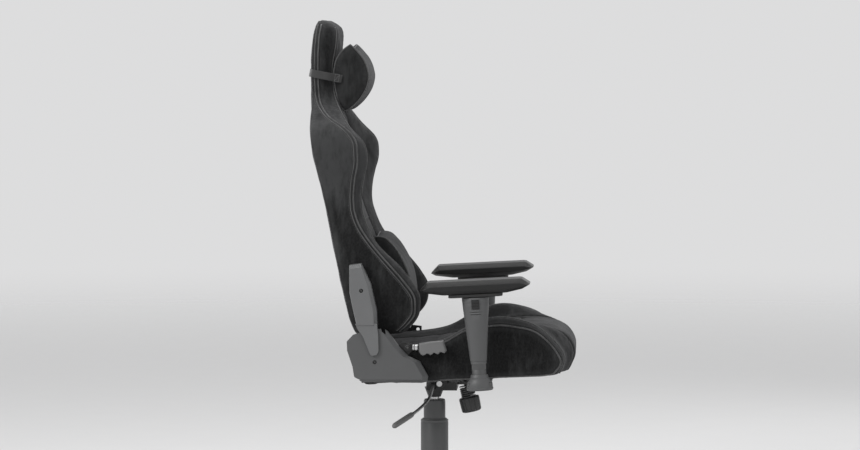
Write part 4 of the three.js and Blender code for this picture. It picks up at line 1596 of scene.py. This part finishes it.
@dataclass
class GasColumn:
    """The gas spring and its three telescoping covers. Profiles are (radius, height)."""

    tube: tuple[Pair, ...] = (
        (0, 60), (19, 60), (20, 61), (25, 67), (25, 283), (24, 285), (13.4, 285), (13.4, 78),
        (0, 78),
    )
    piston: tuple[Pair, ...] = (
        (0, 130), (13, 130.5), (13, 371), (12.2, 385), (11.6, 386), (4.4, 386), (4.4, 370),
        (0, 370),
    )
    lower: tuple[Pair, ...] = (
        (32.2, 128.4), (33.8, 128.4), (34.5, 129.2), (34.5, 136), (34.0, 136.8), (34.0, 138.2),
        (34.5, 139), (34.5, 296), (34.1, 296.6), (34.1, 297.6), (34.5, 298.2), (34.5, 302.2),
        (33.8, 303), (32.8, 303), (32.2, 302.4), (32.2, 128.4),
    )
    middle: tuple[Pair, ...] = (
        (28.8, 152), (30.4, 152), (31, 152.8), (31, 304.6), (30.4, 305.5), (29.4, 305.5),
        (28.8, 304.8), (28.8, 152),
    )
    upper: tuple[Pair, ...] = (
        (25.7, 176), (26.8, 176), (27.2, 176.6), (27.2, 346), (26.8, 348.2), (26.9, 349),
        (26.3, 351.6), (25.0, 353.6), (23.6, 354), (14.4, 354), (13.4, 353.2), (13.4, 351),
        (25.7, 351), (25.7, 176),
    )

    def build(self) -> None:
        """Turns the tube, the piston and the covers."""
        rows = (
            ("gas_tube", self.tube, "base", Slot.BLACK_STEEL, "gas_spring_tube"),
            ("gas_piston", self.piston, "lift", Slot.BRIGHT_STEEL, "gas_spring_piston"),
            ("cover_lower", self.lower, "base", Slot.GREY_PLASTIC, "column_cover_lower"),
            ("cover_middle", self.middle, "cover_middle", Slot.GREY_PLASTIC, "column_cover_middle"),
            ("cover_upper", self.upper, "lift", Slot.GREY_PLASTIC, "column_cover_upper"),
        )
        for name, profile, body, slot, node in rows:
            stand_in(Solid().turned(profile, segments=72).piece(name, 40), body, slot, node)
        keep_node("gas_release_pin", Slot.BRIGHT_STEEL)


@dataclass
class Base:
    """The five-leg base and its twin-wheel casters."""

    legs: int = 5
    circle: float = 320.0
    turns: tuple[float, ...] = (100, 75, 125, 90, 60)
    trail: float = 20.0
    axle: float = 30.0
    wheel: tuple[Pair, ...] = (
        (0, 24.4), (6.5, 24.4), (7.5, 23.4), (8.5, 23.4), (17.5, 22.0), (19.5, 23.4), (20.5, 25.0),
        (26.4, 25.2), (28.0, 24.6), (29.2, 23.4), (29.9, 21.4), (29.9, 16.6), (29.4, 16.1),
        (29.4, 15.1), (29.9, 14.6), (29.9, 9.4), (29.2, 7.2), (27.2, 5.6), (10, 5.4), (4.5, 5.4),
        (4.5, 20.6), (0, 20.6),
    )
    leg_stations: tuple[tuple[float, ...], ...] = (
        (32, 25, 82, 122), (60, 24.6, 82, 121), (110, 23, 82, 117), (165, 21, 79.5, 111.5),
        (220, 19, 77, 105), (270, 17.4, 74, 99.5), (318, 16, 71, 95),
    )

    def _leg(self, solid: Solid, turn: float) -> None:
        """Adds one tapered leg with a rounded back and a shallow channel under it."""
        turned = Matrix.Rotation(turn, 4, "Z")
        rings = []
        for at, half, low, high in self.leg_stations:
            outline = [
                (-0.8 * half, low), (-0.55 * half, low), (-0.45 * half, low + 7),
                (0.45 * half, low + 7), (0.55 * half, low), (0.8 * half, low), (half, low + 6),
                (half, high - 9), (0.86 * half, high - 3.5), (0.6 * half, high),
                (0.2 * half, high + 0.3), (-0.2 * half, high + 0.3), (-0.6 * half, high),
                (-0.86 * half, high - 3.5), (-half, high - 9), (-half, low + 6),
            ]
            rings.append([turned @ mm(at, u, v) for u, v in outline])
        solid.skin(rings)

    def _turn(self, index: int) -> float:
        """The bearing of one leg in radians."""
        return radians(90 + 360 / self.legs * index)

    def _star(self) -> None:
        """Makes the base from its hub, legs and caster sockets."""
        star = Solid().turned([
            (25.4, 74), (37, 74), (38, 75), (44, 100), (43.2, 112), (41, 122), (38.6, 127),
            (36.4, 128), (27, 128), (25.4, 126.6), (25.4, 74),
        ], segments=72)
        for i in range(self.legs):
            turn = self._turn(i)
            self._leg(star, turn)
            place = Matrix.Translation(mm(self.circle * cos(turn), self.circle * sin(turn), 0))
            star.turned([
                (5.9, 70), (17, 70), (18, 71), (19, 92), (17.6, 96), (14, 98), (6, 98.6), (0, 98.8),
                (0, 93), (5.9, 93), (5.9, 70),
            ], place, 36)
        piece = star.piece("base_star_moulding", 36)
        soften(piece, 1.6, 40)
        stand_in(piece, "base", Slot.BLACK_PLASTIC, "base_star")

    def _wheel(self, number: int, place: Matrix) -> None:
        """Makes both wheels of one caster, with spoked hub caps."""
        for letter, sign in (("a", 1), ("b", -1)):
            hub = place @ Matrix.Translation(mm(self.trail, 0, self.axle))
            axis = hub @ Matrix.Rotation(-sign * pi / 2, 4, "X")
            wheel = Solid().turned(self.wheel, axis, 60)
            for spoke in range(6):
                turn = axis @ Matrix.Rotation(2 * pi * spoke / 6, 4, "Z")
                wheel.box((8.0, -1.6, 21.6), (20.2, 1.6, 24.0), turn)
            body = f"wheel_{number}_{letter}"
            stand_in(wheel.piece(f"{body}_tyre", 36), body, Slot.TREAD, f"caster_{body}")

    def build(self) -> None:
        """Makes the base and the wheels, and dresses the hoods."""
        self._star()
        for i, caster_turn in enumerate(self.turns):
            number, turn = i + 1, self._turn(i)
            at = mm(self.circle * cos(turn), self.circle * sin(turn), 0)
            place = Matrix.Translation(at) @ Matrix.Rotation(turn + radians(caster_turn), 4, "Z")
            self._wheel(number, place)
            keep_node(f"caster_hood_{number}", Slot.BLACK_PLASTIC, 0.5, 40)


@dataclass
class Mechanism:
    """The tilt mechanism with its tension spring and knob, and the height lever."""

    knob_lean: float = 12.5
    knob_at: tuple[float, float, float] = (0.0, -78.4, 393.0)
    coil_radius: float = 15.4
    wire: float = 3.1
    coil_span: Pair = (-30.0, -8.6)
    coil_turns: float = 4.0
    ribs: int = 12
    rod_radius: float = 3.8
    grip_radius: float = 6.7
    lever: tuple[tuple[float, float, float], ...] = (
        (8, 0, 395.4), (-40, 0, 395.4), (-66, 0, 395.4), (-78, 1, 391), (-90, 7, 371),
        (-104, 13, 360), (-150, 27, 348), (-200, 46, 336), (-262, 87, 314),
    )
    grip: tuple[tuple[float, float, float], ...] = (
        (-196, 44.5, 337), (-262, 87, 314), (-266, 89.6, 312.6),
    )

    def _axis(self) -> Matrix:
        """The tension bolt's axis, with heights measured along it."""
        lean = Matrix.Rotation(-radians(self.knob_lean), 4, "X")
        return Matrix.Translation(mm(*self.knob_at)) @ lean

    def _spring(self) -> None:
        """Winds the tension spring between its two washers."""
        place, coil = self._axis(), Solid()
        low, high = self.coil_span
        count = int(self.coil_turns * 28)
        path = []
        for i in range(count + 1):
            turn = 2 * pi * self.coil_turns * i / count
            height = low + (high - low) * i / count
            x, y = self.coil_radius * cos(turn), self.coil_radius * sin(turn)
            path.append(place @ mm(x, y, height))
        coil.swept(path, self.wire * 0.001, 10)
        bore, rim = 6.2, 18.6
        for bottom, top in ((-33.4, -32.0), (-6.4, -5.0)):
            washer = [(bore, bottom), (rim, bottom), (rim, top), (bore, top), (bore, bottom)]
            coil.turned(washer, place, 40)
        stand_in(coil.piece("tension_coil", 50), "mechanism", Slot.BLACK_STEEL, "tension_spring")

    def _knob(self) -> None:
        """Makes the ribbed tension knob on its bolt."""
        place, knob = self._axis(), Solid()
        levels = (
            (-72, 12), (-72, 19), (-71.2, 21.4), (-69.6, 23.8), (-67.6, 24.8), (-53, 25.4),
            (-38.6, 25.8), (-36.4, 25.4), (-34.6, 23.6), (-34, 21.0), (-34, 8),
        )
        around = self.ribs * 10
        rings = []
        for height, radius in levels:
            depth = 1.7 if -70 < height < -36 else (0.8 if radius > 20 else 0.0)
            ring = []
            for k in range(around):
                turn = 2 * pi * k / around
                groove = max(0.0, cos(turn * self.ribs)) ** 3
                reach = radius - depth * groove
                ring.append(place @ mm(reach * cos(turn), reach * sin(turn), height))
            rings.append(ring)
        knob.skin(rings)
        knob.turned([(0, -38), (5, -38), (5, 10), (0, 10)], place, 28)
        knob.turned([(0, -72.6), (8, -72.6), (9.4, -71.8), (0, -71.8)], place, 32)
        stand_in(
            knob.piece("tension_grip", 30), "tension_knob", Slot.BLACK_PLASTIC, "tension_knob",
            finish=Moulded(grey(0.035), 0.4),
        )

    def _lever(self) -> None:
        """Bends the height lever's rod and fits its grip."""
        route = resampled(rounded_path(self.lever, 10), 3.0)
        rod = Solid().swept([Vector(p) * 0.001 for p in route], self.rod_radius * 0.001, 16)
        stand_in(
            rod.piece("height_rod", 50), "height_lever", Slot.BRIGHT_STEEL, "height_lever_rod",
            finish=Metal(grey(0.34), 0.7, 0.34),
        )
        line = resampled(rounded_path(self.grip, 12), 1.2)
        reach = np.linspace(0, 1, len(line))
        radii = []
        for t in reach:
            end = min(t, 1 - t) * 12
            dome = min(1.0, end) ** 0.5
            ring = 0.35 if 0.08 < t < 0.3 and int(t * 90) % 2 else 0.0
            radius = self.grip_radius * (0.42 + 0.58 * dome) - ring + 0.25 * sin(t * pi)
            radii.append(radius * 0.001)
        grip = Solid().swept([Vector(p) * 0.001 for p in line], radii, 22)
        stand_in(
            grip.piece("height_grip", 50), "height_lever", Slot.BLACK_PLASTIC,
            "height_lever_grip", finish=Moulded(grey(0.13)),
        )

    def build(self) -> None:
        """Makes the moving parts and dresses the housing and what is in it."""
        self._spring()
        self._knob()
        self._lever()
        for name, slot, bevel, angle in (
            ("mechanism_housing", Slot.BLACK_STEEL, 0.7, 40),
            ("tilt_axle", Slot.BRIGHT_STEEL, 0.6, 50),
            ("lever_bush", Slot.BLACK_PLASTIC, 0.3, 50),
            ("mechanism_top_plate", Slot.BLACK_STEEL, 0.4, 50),
            ("seat_frame", Slot.BLACK_STEEL, 0.4, 50),
            ("seat_dust_cover", Slot.DUST_CLOTH, 0.0, 32),
            ("back_frame", Slot.BLACK_STEEL, 0.0, 32),
            ("recline_pin_left", Slot.BRIGHT_STEEL, 0.5, 50),
            ("recline_pin_right", Slot.BRIGHT_STEEL, 0.5, 50),
        ):
            keep_node(name, slot, bevel, angle)


@dataclass
class Arm:
    """One arm: post, foot, sleeve with its height button, and the pad on its plate.

    Each window of the sleeve is its half width, lowest and highest point, and the
    distance from the post's middle at which it ends.
    """

    side: Side
    x: float = 330.0
    y: float = -124.0
    squeeze: float = 13.6 / 17.5
    pad_x: float = 318.0
    sleeve: tuple[Pair, ...] = (
        (17.9, 466.7), (18.6, 466.7), (19, 467.1), (19.4, 471.6), (18.9, 472.2), (18.9, 473.2),
        (20.1, 474), (23.5, 513), (27.4, 560), (31.4, 605), (31.9, 614), (31.6, 614.6),
        (31.7, 615.4), (32.2, 616), (32.5, 626.2), (31.7, 627.4), (0, 627.4), (0, 620), (17.9, 620),
        (17.9, 466.7),
    )
    foot: tuple[Pair, ...] = (
        (17.9, 402.6), (30, 402.6), (31, 403.4), (32.3, 406.6), (32.5, 408.4), (31.4, 409.4),
        (31.3, 414), (30.6, 420), (27.4, 426), (24.0, 432), (22.2, 433.2), (20.6, 439.6),
        (19.8, 440.5), (17.9, 440.5), (17.9, 402.6),
    )

    windows: tuple[tuple[float, ...], ...] = (
        (9.4, 599.6, 622.4, 12.0), (13.5, 592.0, 594.0, 20.2), (12.5, 586.2, 588.2, 19.6),
    )

    def _at(self, x: float, y: float) -> Matrix:
        """The seat's pitched frame moved to (x, y) on this side."""
        return pitched() @ Matrix.Translation(mm(self.side.value * x, y, 0))

    def _post(self) -> None:
        """Makes the strap under the seat and the oval post."""
        sign, place = self.side.value, self._at(self.x, self.y)
        post = Solid().turned([
            (0, 416), (17.5, 416), (17.5, 452), (17.1, 452.6), (17.1, 453.8), (17.5, 454.4),
            (17.5, 598), (16.5, 600), (0, 600),
        ], place, 56, self.squeeze)
        low, high = sorted((sign * 112, sign * (self.x + 14)))
        post.box((low, self.y - 28, 414.6), (high, self.y + 28, 420.4), pitched())
        for offset in (-16, 16):
            at = pitched() @ Matrix.Translation(mm(sign * 140, self.y + offset, 0))
            socket_screw(post, at @ Matrix.Rotation(pi, 4, "X"), 5.0, -412.4)
        piece = post.piece(f"arm_post_{self.side.label}", 36)
        soften(piece, 0.8, 50)
        stand_in(piece, "seat", Slot.GREY_PAINT, f"arm_bracket_{self.side.label}")

    def _foot(self) -> None:
        """Makes the flared foot round the bottom of the post."""
        flare = Solid().turned(self.foot, self._at(self.x, self.y), 72, self.squeeze)
        foot = flare.piece(f"arm_flare_{self.side.label}", 32)
        inner, outer = sorted((self.side.value * 280, self.side.value * (self.x + 14.4)))
        low, high = (inner, self.y - 28.4, 414.2), (outer, self.y + 28.4, 420.8)
        carve(foot, Solid().box(low, high, pitched()))
        stand_in(foot, "seat", Slot.GREY_PLASTIC, f"arm_foot_{self.side.label}")

    def _sleeve(self) -> None:
        """Makes the tapered sleeve with its button window and slots."""
        sign, place = self.side.value, pitched()
        column = Solid().turned(self.sleeve, self._at(self.x, self.y), 96, self.squeeze)
        sleeve = column.piece(f"arm_column_{self.side.label}", 30)
        for half, low, high, depth in self.windows:
            inner, outer = sorted((sign * (self.x + depth), sign * (self.x + 40)))
            corners = (inner, self.y - half, low), (outer, self.y + half, high)
            carve(sleeve, Solid().box(*corners, place))
        sleeve.data.polygons.foreach_set("use_smooth", [True] * len(sleeve.data.polygons))
        sleeve.data.set_sharp_from_angle(angle=radians(30))
        label = self.side.label
        stand_in(sleeve, f"arm_slide_{label}", Slot.GREY_PLASTIC, f"arm_sleeve_{label}")
        keep_node(f"arm_button_{label}", Slot.BLACK_PLASTIC, 0.5, 50)

    def _plate(self) -> None:
        """Makes the swivel plate under the pad, with its turning disc."""
        sign, label, place = self.side.value, self.side.label, pitched()
        outline = [
            (36, -60), (30, -66), (-30, -66), (-36, -60), (-36, 56), (-28, 64), (28, 64), (36, 56),
        ]
        rings = []
        for inset, z in ((2.0, 629.0), (0.0, 630.0), (0.0, 636.0), (0.6, 636.4)):
            wide, long = 1 - inset / 40, 1 - inset / 66
            rings.append([
                place @ mm(sign * (self.pad_x + 3 + x * wide), self.y + y * long, z)
                for x, y in outline
            ])
        disc = [(0, 627.8), (22.6, 627.8), (24, 628.8), (24, 630), (0, 630)]
        plate = Solid().skin(rings).turned(disc, self._at(self.x, self.y), 60)
        body = f"pad_swivel_{label}"
        stand_in(
            plate.piece(f"pad_plate_{label}", 30), body, Slot.BLACK_PLASTIC,
            f"pad_swivel_plate_{label}",
        )

    def _pad(self) -> None:
        """Makes the moulded pad with bevelled sides and a shallow dish on top."""
        label, sign, place = self.side.label, self.side.value, pitched()
        profile = [
            (8, 651), (1.5, 657.6), (-4.6, 663.6), (-9.5, 668.2), (-14, 669.4), (-60, 669.5),
            (-124, 669.5), (-190, 669.5), (-233, 669.4), (-239, 668.2), (-248, 662), (-256, 656.4),
            (-257.4, 654.6), (-256, 653.2), (-238, 644), (-202, 637.2), (-196, 636.8),
            (-125, 636.8), (-52, 636.8), (-46, 637.2), (-4, 644), (6.6, 649.6),
        ]
        bevel = [(49, 0.952, 0.33), (48.2, 0.96, 0.42), (38.4, 0.997, 0.96), (36.4, 1.0, 1.0)]
        layers = [(-x, long, tall) for x, long, tall in bevel]
        layers += [(x, 1.0, 1.0) for x in (-30, -15, 0, 15, 30)] + bevel[::-1]
        y0, z0 = -125, 652
        rings = []
        for x, long, tall in layers:
            dish = 1.1 * max(0.0, 1 - (x / 34) ** 2)
            ring = []
            for y, z in profile:
                sunk = dish if z > 669 and -225 < y < -18 else 0.0
                at_y, at_z = y0 + (y - y0) * long, z0 + (z - z0) * tall - sunk
                ring.append(place @ mm(sign * (self.pad_x + x), at_y, at_z))
            rings.append(ring)
        pad = Solid().skin(rings).piece(f"arm_cushion_{label}", 24)
        soften(pad, 1.4, 20, 3)
        stand_in(pad, f"arm_pad_{label}", Slot.PAD_FOAM, f"arm_pad_{label}")

    def build(self) -> None:
        """Makes the arm's pieces."""
        self._post()
        self._foot()
        self._sleeve()
        self._plate()
        self._pad()


@dataclass
class ReclineLever:
    """The lever at the right side that lets the back recline."""

    pivot: Pair = (54.0, 507.0)
    grip: tuple[Pair, ...] = (
        (26, 497), (26, 517), (0, 521), (-33, 524), (-36.5, 515), (-41.5, 500), (-36, 494),
        (-31, 496.6), (-27, 497), (-23, 493), (-19, 491), (-14, 494), (-10, 495), (-6, 491),
        (-2, 489), (3, 492.4), (8, 493), (12.5, 489), (17, 488), (22, 491),
    )

    def build(self) -> None:
        """Makes the grip and dresses the arm."""
        stations = [
            (-265.4, 0.86), (-266.4, 0.93), (-269.4, 1.0), (-284.6, 1.0), (-287.6, 0.93),
            (-288.8, 0.86),
        ]
        grip = Solid().plate(self.grip, stations, (-6, 506)).piece("recline_grip", 28)
        soften(grip, 1.0, 24)
        stand_in(
            grip, "recline_lever", Slot.GREY_PLASTIC, "recline_lever_grip",
            finish=Moulded(grey(0.15), 0.38),
        )
        bolt = socket_screw(Solid(), along_x(self.pivot, -1), 6.2, 279.6).piece("recline_bolt", 34)
        stand_in(bolt, "recline_lever", Slot.BLACK_STEEL)
        y, z = self.pivot
        place = Matrix.Translation(mm(-276, y, z)) @ Matrix.Rotation(pi / 2, 4, "X")
        ferrule = Solid().turned([
            (4, 12), (7.6, 12), (8.3, 12.8), (8.3, 15), (7.7, 15.8), (7.7, 17.2), (8.3, 18),
            (8.3, 24), (7.7, 24.8), (7.7, 26), (4, 26), (4, 12),
        ], place, 40).piece("recline_ferrule", 34)
        stand_in(ferrule, "recline_lever", Slot.BRIGHT_STEEL)
        keep_node("recline_lever_arm", Slot.BLACK_STEEL, 0.5, 50)


@dataclass
class HingeCovers:
    """Both pairs of hinge covers, with the screws that hold them.

    Each row is a cover's name, its body, and its screw's middle and top.
    """

    rows: tuple[tuple[str, str, Pair, float], ...] = (
        ("lower", "seat", (133.0, 472.0), 289.4),
        ("upper", "backrest", (165.0, 646.0), 299.4),
    )
    # Painted light: the upper covers are the same grey plastic as the lower ones, painted lighter
    # for the light that falls on them.
    upper_painted_light_finish: Moulded = Moulded(grey(0.135, -0.015), 0.38)

    def build(self) -> None:
        """Dresses the covers and sets their screws."""
        for side in Side:
            label = side.label
            keep_node(f"hinge_cover_lower_{label}", Slot.GREY_PLASTIC, 1.0, 24)
            keep_node(
                f"hinge_cover_upper_{label}", Slot.GREY_PLASTIC, 1.0, 24, self.upper_painted_light_finish
            )
            for name, body, at, top in self.rows:
                screw = socket_screw(Solid(), along_x(at, side.value), 4.7, top)
                stand_in(screw.piece(f"cover_screw_{name}_{label}", 34), body, Slot.BLACK_STEEL)


# ------------------------------------------------------------------ studio
@dataclass(frozen=True)
class SoftBox:
    """A rectangular studio light."""

    name: str
    at: tuple[float, float, float]
    aim: tuple[float, float, float]
    size: tuple[float, float]
    power: float

    def hang(self) -> None:
        """Hangs the light and turns it to its aim."""
        light = bpy.data.lights.new(self.name, "AREA")
        light.shape = "RECTANGLE"
        light.size, light.size_y = self.size
        light.energy = self.power
        holder = bpy.data.objects.new(self.name, light)
        holder.location = self.at
        ahead = Vector(self.aim) - Vector(self.at)
        holder.rotation_euler = ahead.to_track_quat("-Z", "Y").to_euler()
        bpy.context.scene.collection.objects.link(holder)


@dataclass
class Studio:
    """The pale floor and air, the soft lights and the camera."""

    air: Colour = (0.86, 0.86, 0.865)
    air_strength: float = 0.84
    floor_colour: Colour = (0.72, 0.72, 0.72)
    floor_radius: float = 14.0
    fade: tuple[float, float] = (3.2, 11.0)
    azimuth: float = -87.5
    elevation: float = 3.0
    distance: float = 8.6
    target: tuple[float, float, float] = (0.0, 0.0115, 0.79)
    lens: float = 144.0
    lights: tuple[SoftBox, ...] = (
        SoftBox("key", (-2.6, 2.4, 2.7), (0, 0.1, 0.8), (1.5, 1.5), 74),
        SoftBox("top", (0.2, 0.1, 3.4), (0, 0, 0.6), (2.2, 2.2), 34),
        SoftBox("front", (-2.4, -3.0, 1.4), (0, 0, 0.7), (2.0, 2.4), 7),
        SoftBox("rim", (2.6, -1.8, 2.4), (0, 0.1, 0.9), (1.6, 2.4), 14),
    )

    def _air(self) -> None:
        """Fills the room with even pale light."""
        world = bpy.data.worlds.new("air")
        world.use_nodes = True
        background = world.node_tree.nodes["Background"]
        background.inputs["Color"].default_value = (*self.air, 1.0)
        background.inputs["Strength"].default_value = self.air_strength
        bpy.context.scene.world = world

    def _floor(self) -> None:
        """Lays a round floor that fades into the air."""
        disc = Solid().turned([(0, -1), (self.floor_radius * 1000, -1)], segments=96)
        floor = disc.piece("floor")
        s = Shader("floor")
        point = s.node("ShaderNodeTexCoord", output="Object")
        reach = s.node("ShaderNodeVectorMath", {"operation": "LENGTH"}, {0: point}, output="Value")
        grain = s.noise(8.0, 4.0, 0.6)
        base = s.mix(grain, self.floor_colour, scaled(self.floor_colour, 0.97))
        s.finish({"Roughness": 0.75}, {"Base Color": base})
        clear = s.tree.nodes.new("ShaderNodeBsdfTransparent")
        mixed = s.tree.nodes.new("ShaderNodeMixShader")
        s.tree.links.new(reach.between(*self.fade).socket, mixed.inputs[0])
        s.tree.links.new(s.surface.outputs[0], mixed.inputs[1])
        s.tree.links.new(clear.outputs[0], mixed.inputs[2])
        s.tree.links.new(mixed.outputs[0], s.tree.nodes["Material Output"].inputs["Surface"])
        floor.data.materials.append(s.material)

    def _camera(self) -> None:
        """Sets the camera at the side of the chair, a little above the arms."""
        lens = bpy.data.cameras.new("camera")
        lens.lens = self.lens
        lens.sensor_width = 36.0
        lens.clip_end = 100.0
        camera = bpy.data.objects.new("camera", lens)
        turn, rise = radians(self.azimuth), radians(self.elevation)
        back = Vector((sin(turn) * cos(rise), -cos(turn) * cos(rise), sin(rise)))
        camera.location = Vector(self.target) + back * self.distance
        camera.rotation_euler = (-back).to_track_quat("-Z", "Y").to_euler()
        bpy.context.scene.collection.objects.link(camera)
        bpy.context.scene.camera = camera

    def build(self) -> None:
        """Sets up the room."""
        self._air()
        self._floor()
        self._camera()
        for light in self.lights:
            light.hang()
        bpy.context.scene.view_settings.view_transform = "Standard"
        log.info("studio with %d lights", len(self.lights))


HEAD_PILLOW = Pillow(
    "head_pillow", "head_pillow",
    front=(
        (202, 1243), (182, 1222), (169, 1206), (158, 1178), (156, 1155), (164, 1128), (182, 1101),
        (206, 1079), (217, 1074),
    ),
    rear=((230, 1092), (238, 1118), (243.5, 1150), (244, 1180), (238, 1205), (222, 1228)),
    half=130.0,
)
LUMBAR_PILLOW = Pillow(
    "lumbar_pillow", "lumbar_pillow",
    front=(
        (146, 769), (117, 767), (100, 752), (83, 730), (66, 698), (55, 666), (49, 622), (52, 588),
        (69, 560), (94, 551),
    ),
    rear=((107, 562), (114, 590), (120, 620), (126, 660), (132, 696), (140, 736)),
    half=138.0,
    droop=6.0,
)
HEAD_STRAP = Strap(
    "head_band", "head_strap", head_strap_path(),
    (0.0, -sin(radians(HEAD_STRAP_SLOPE)), cos(radians(HEAD_STRAP_SLOPE))), 19.0, 1.5,
    Webbing(grey(0.062), 0.0022, 0.0024),
)
LUMBAR_STRAP = Strap(
    "lumbar_band", "lumbar_strap",
    tuple((0.0, y, z) for y, z in (
        (123.5, 600), (116.5, 562), (110.5, 537), (111, 532.5), (117, 531), (179, 531),
        (186.5, 534), (197.5, 560), (206.5, 590), (213.5, 618),
    )),
    (1.0, 0.0, 0.0), 38.0, 1.6, Webbing(grey(0.018), 0.0018, 0.004),
)


def main() -> None:
    """Builds the chair's looks and the studio."""
    Studio().build()
    for part in (
        Back(), Seat(), HEAD_PILLOW, LUMBAR_PILLOW, HEAD_STRAP, LUMBAR_STRAP, HingeCovers(),
        Arm(Side.LEFT), Arm(Side.RIGHT), ReclineLever(), Mechanism(), GasColumn(), Base(),
    ):
        part.build()


if __name__ == "__main__":
    main()
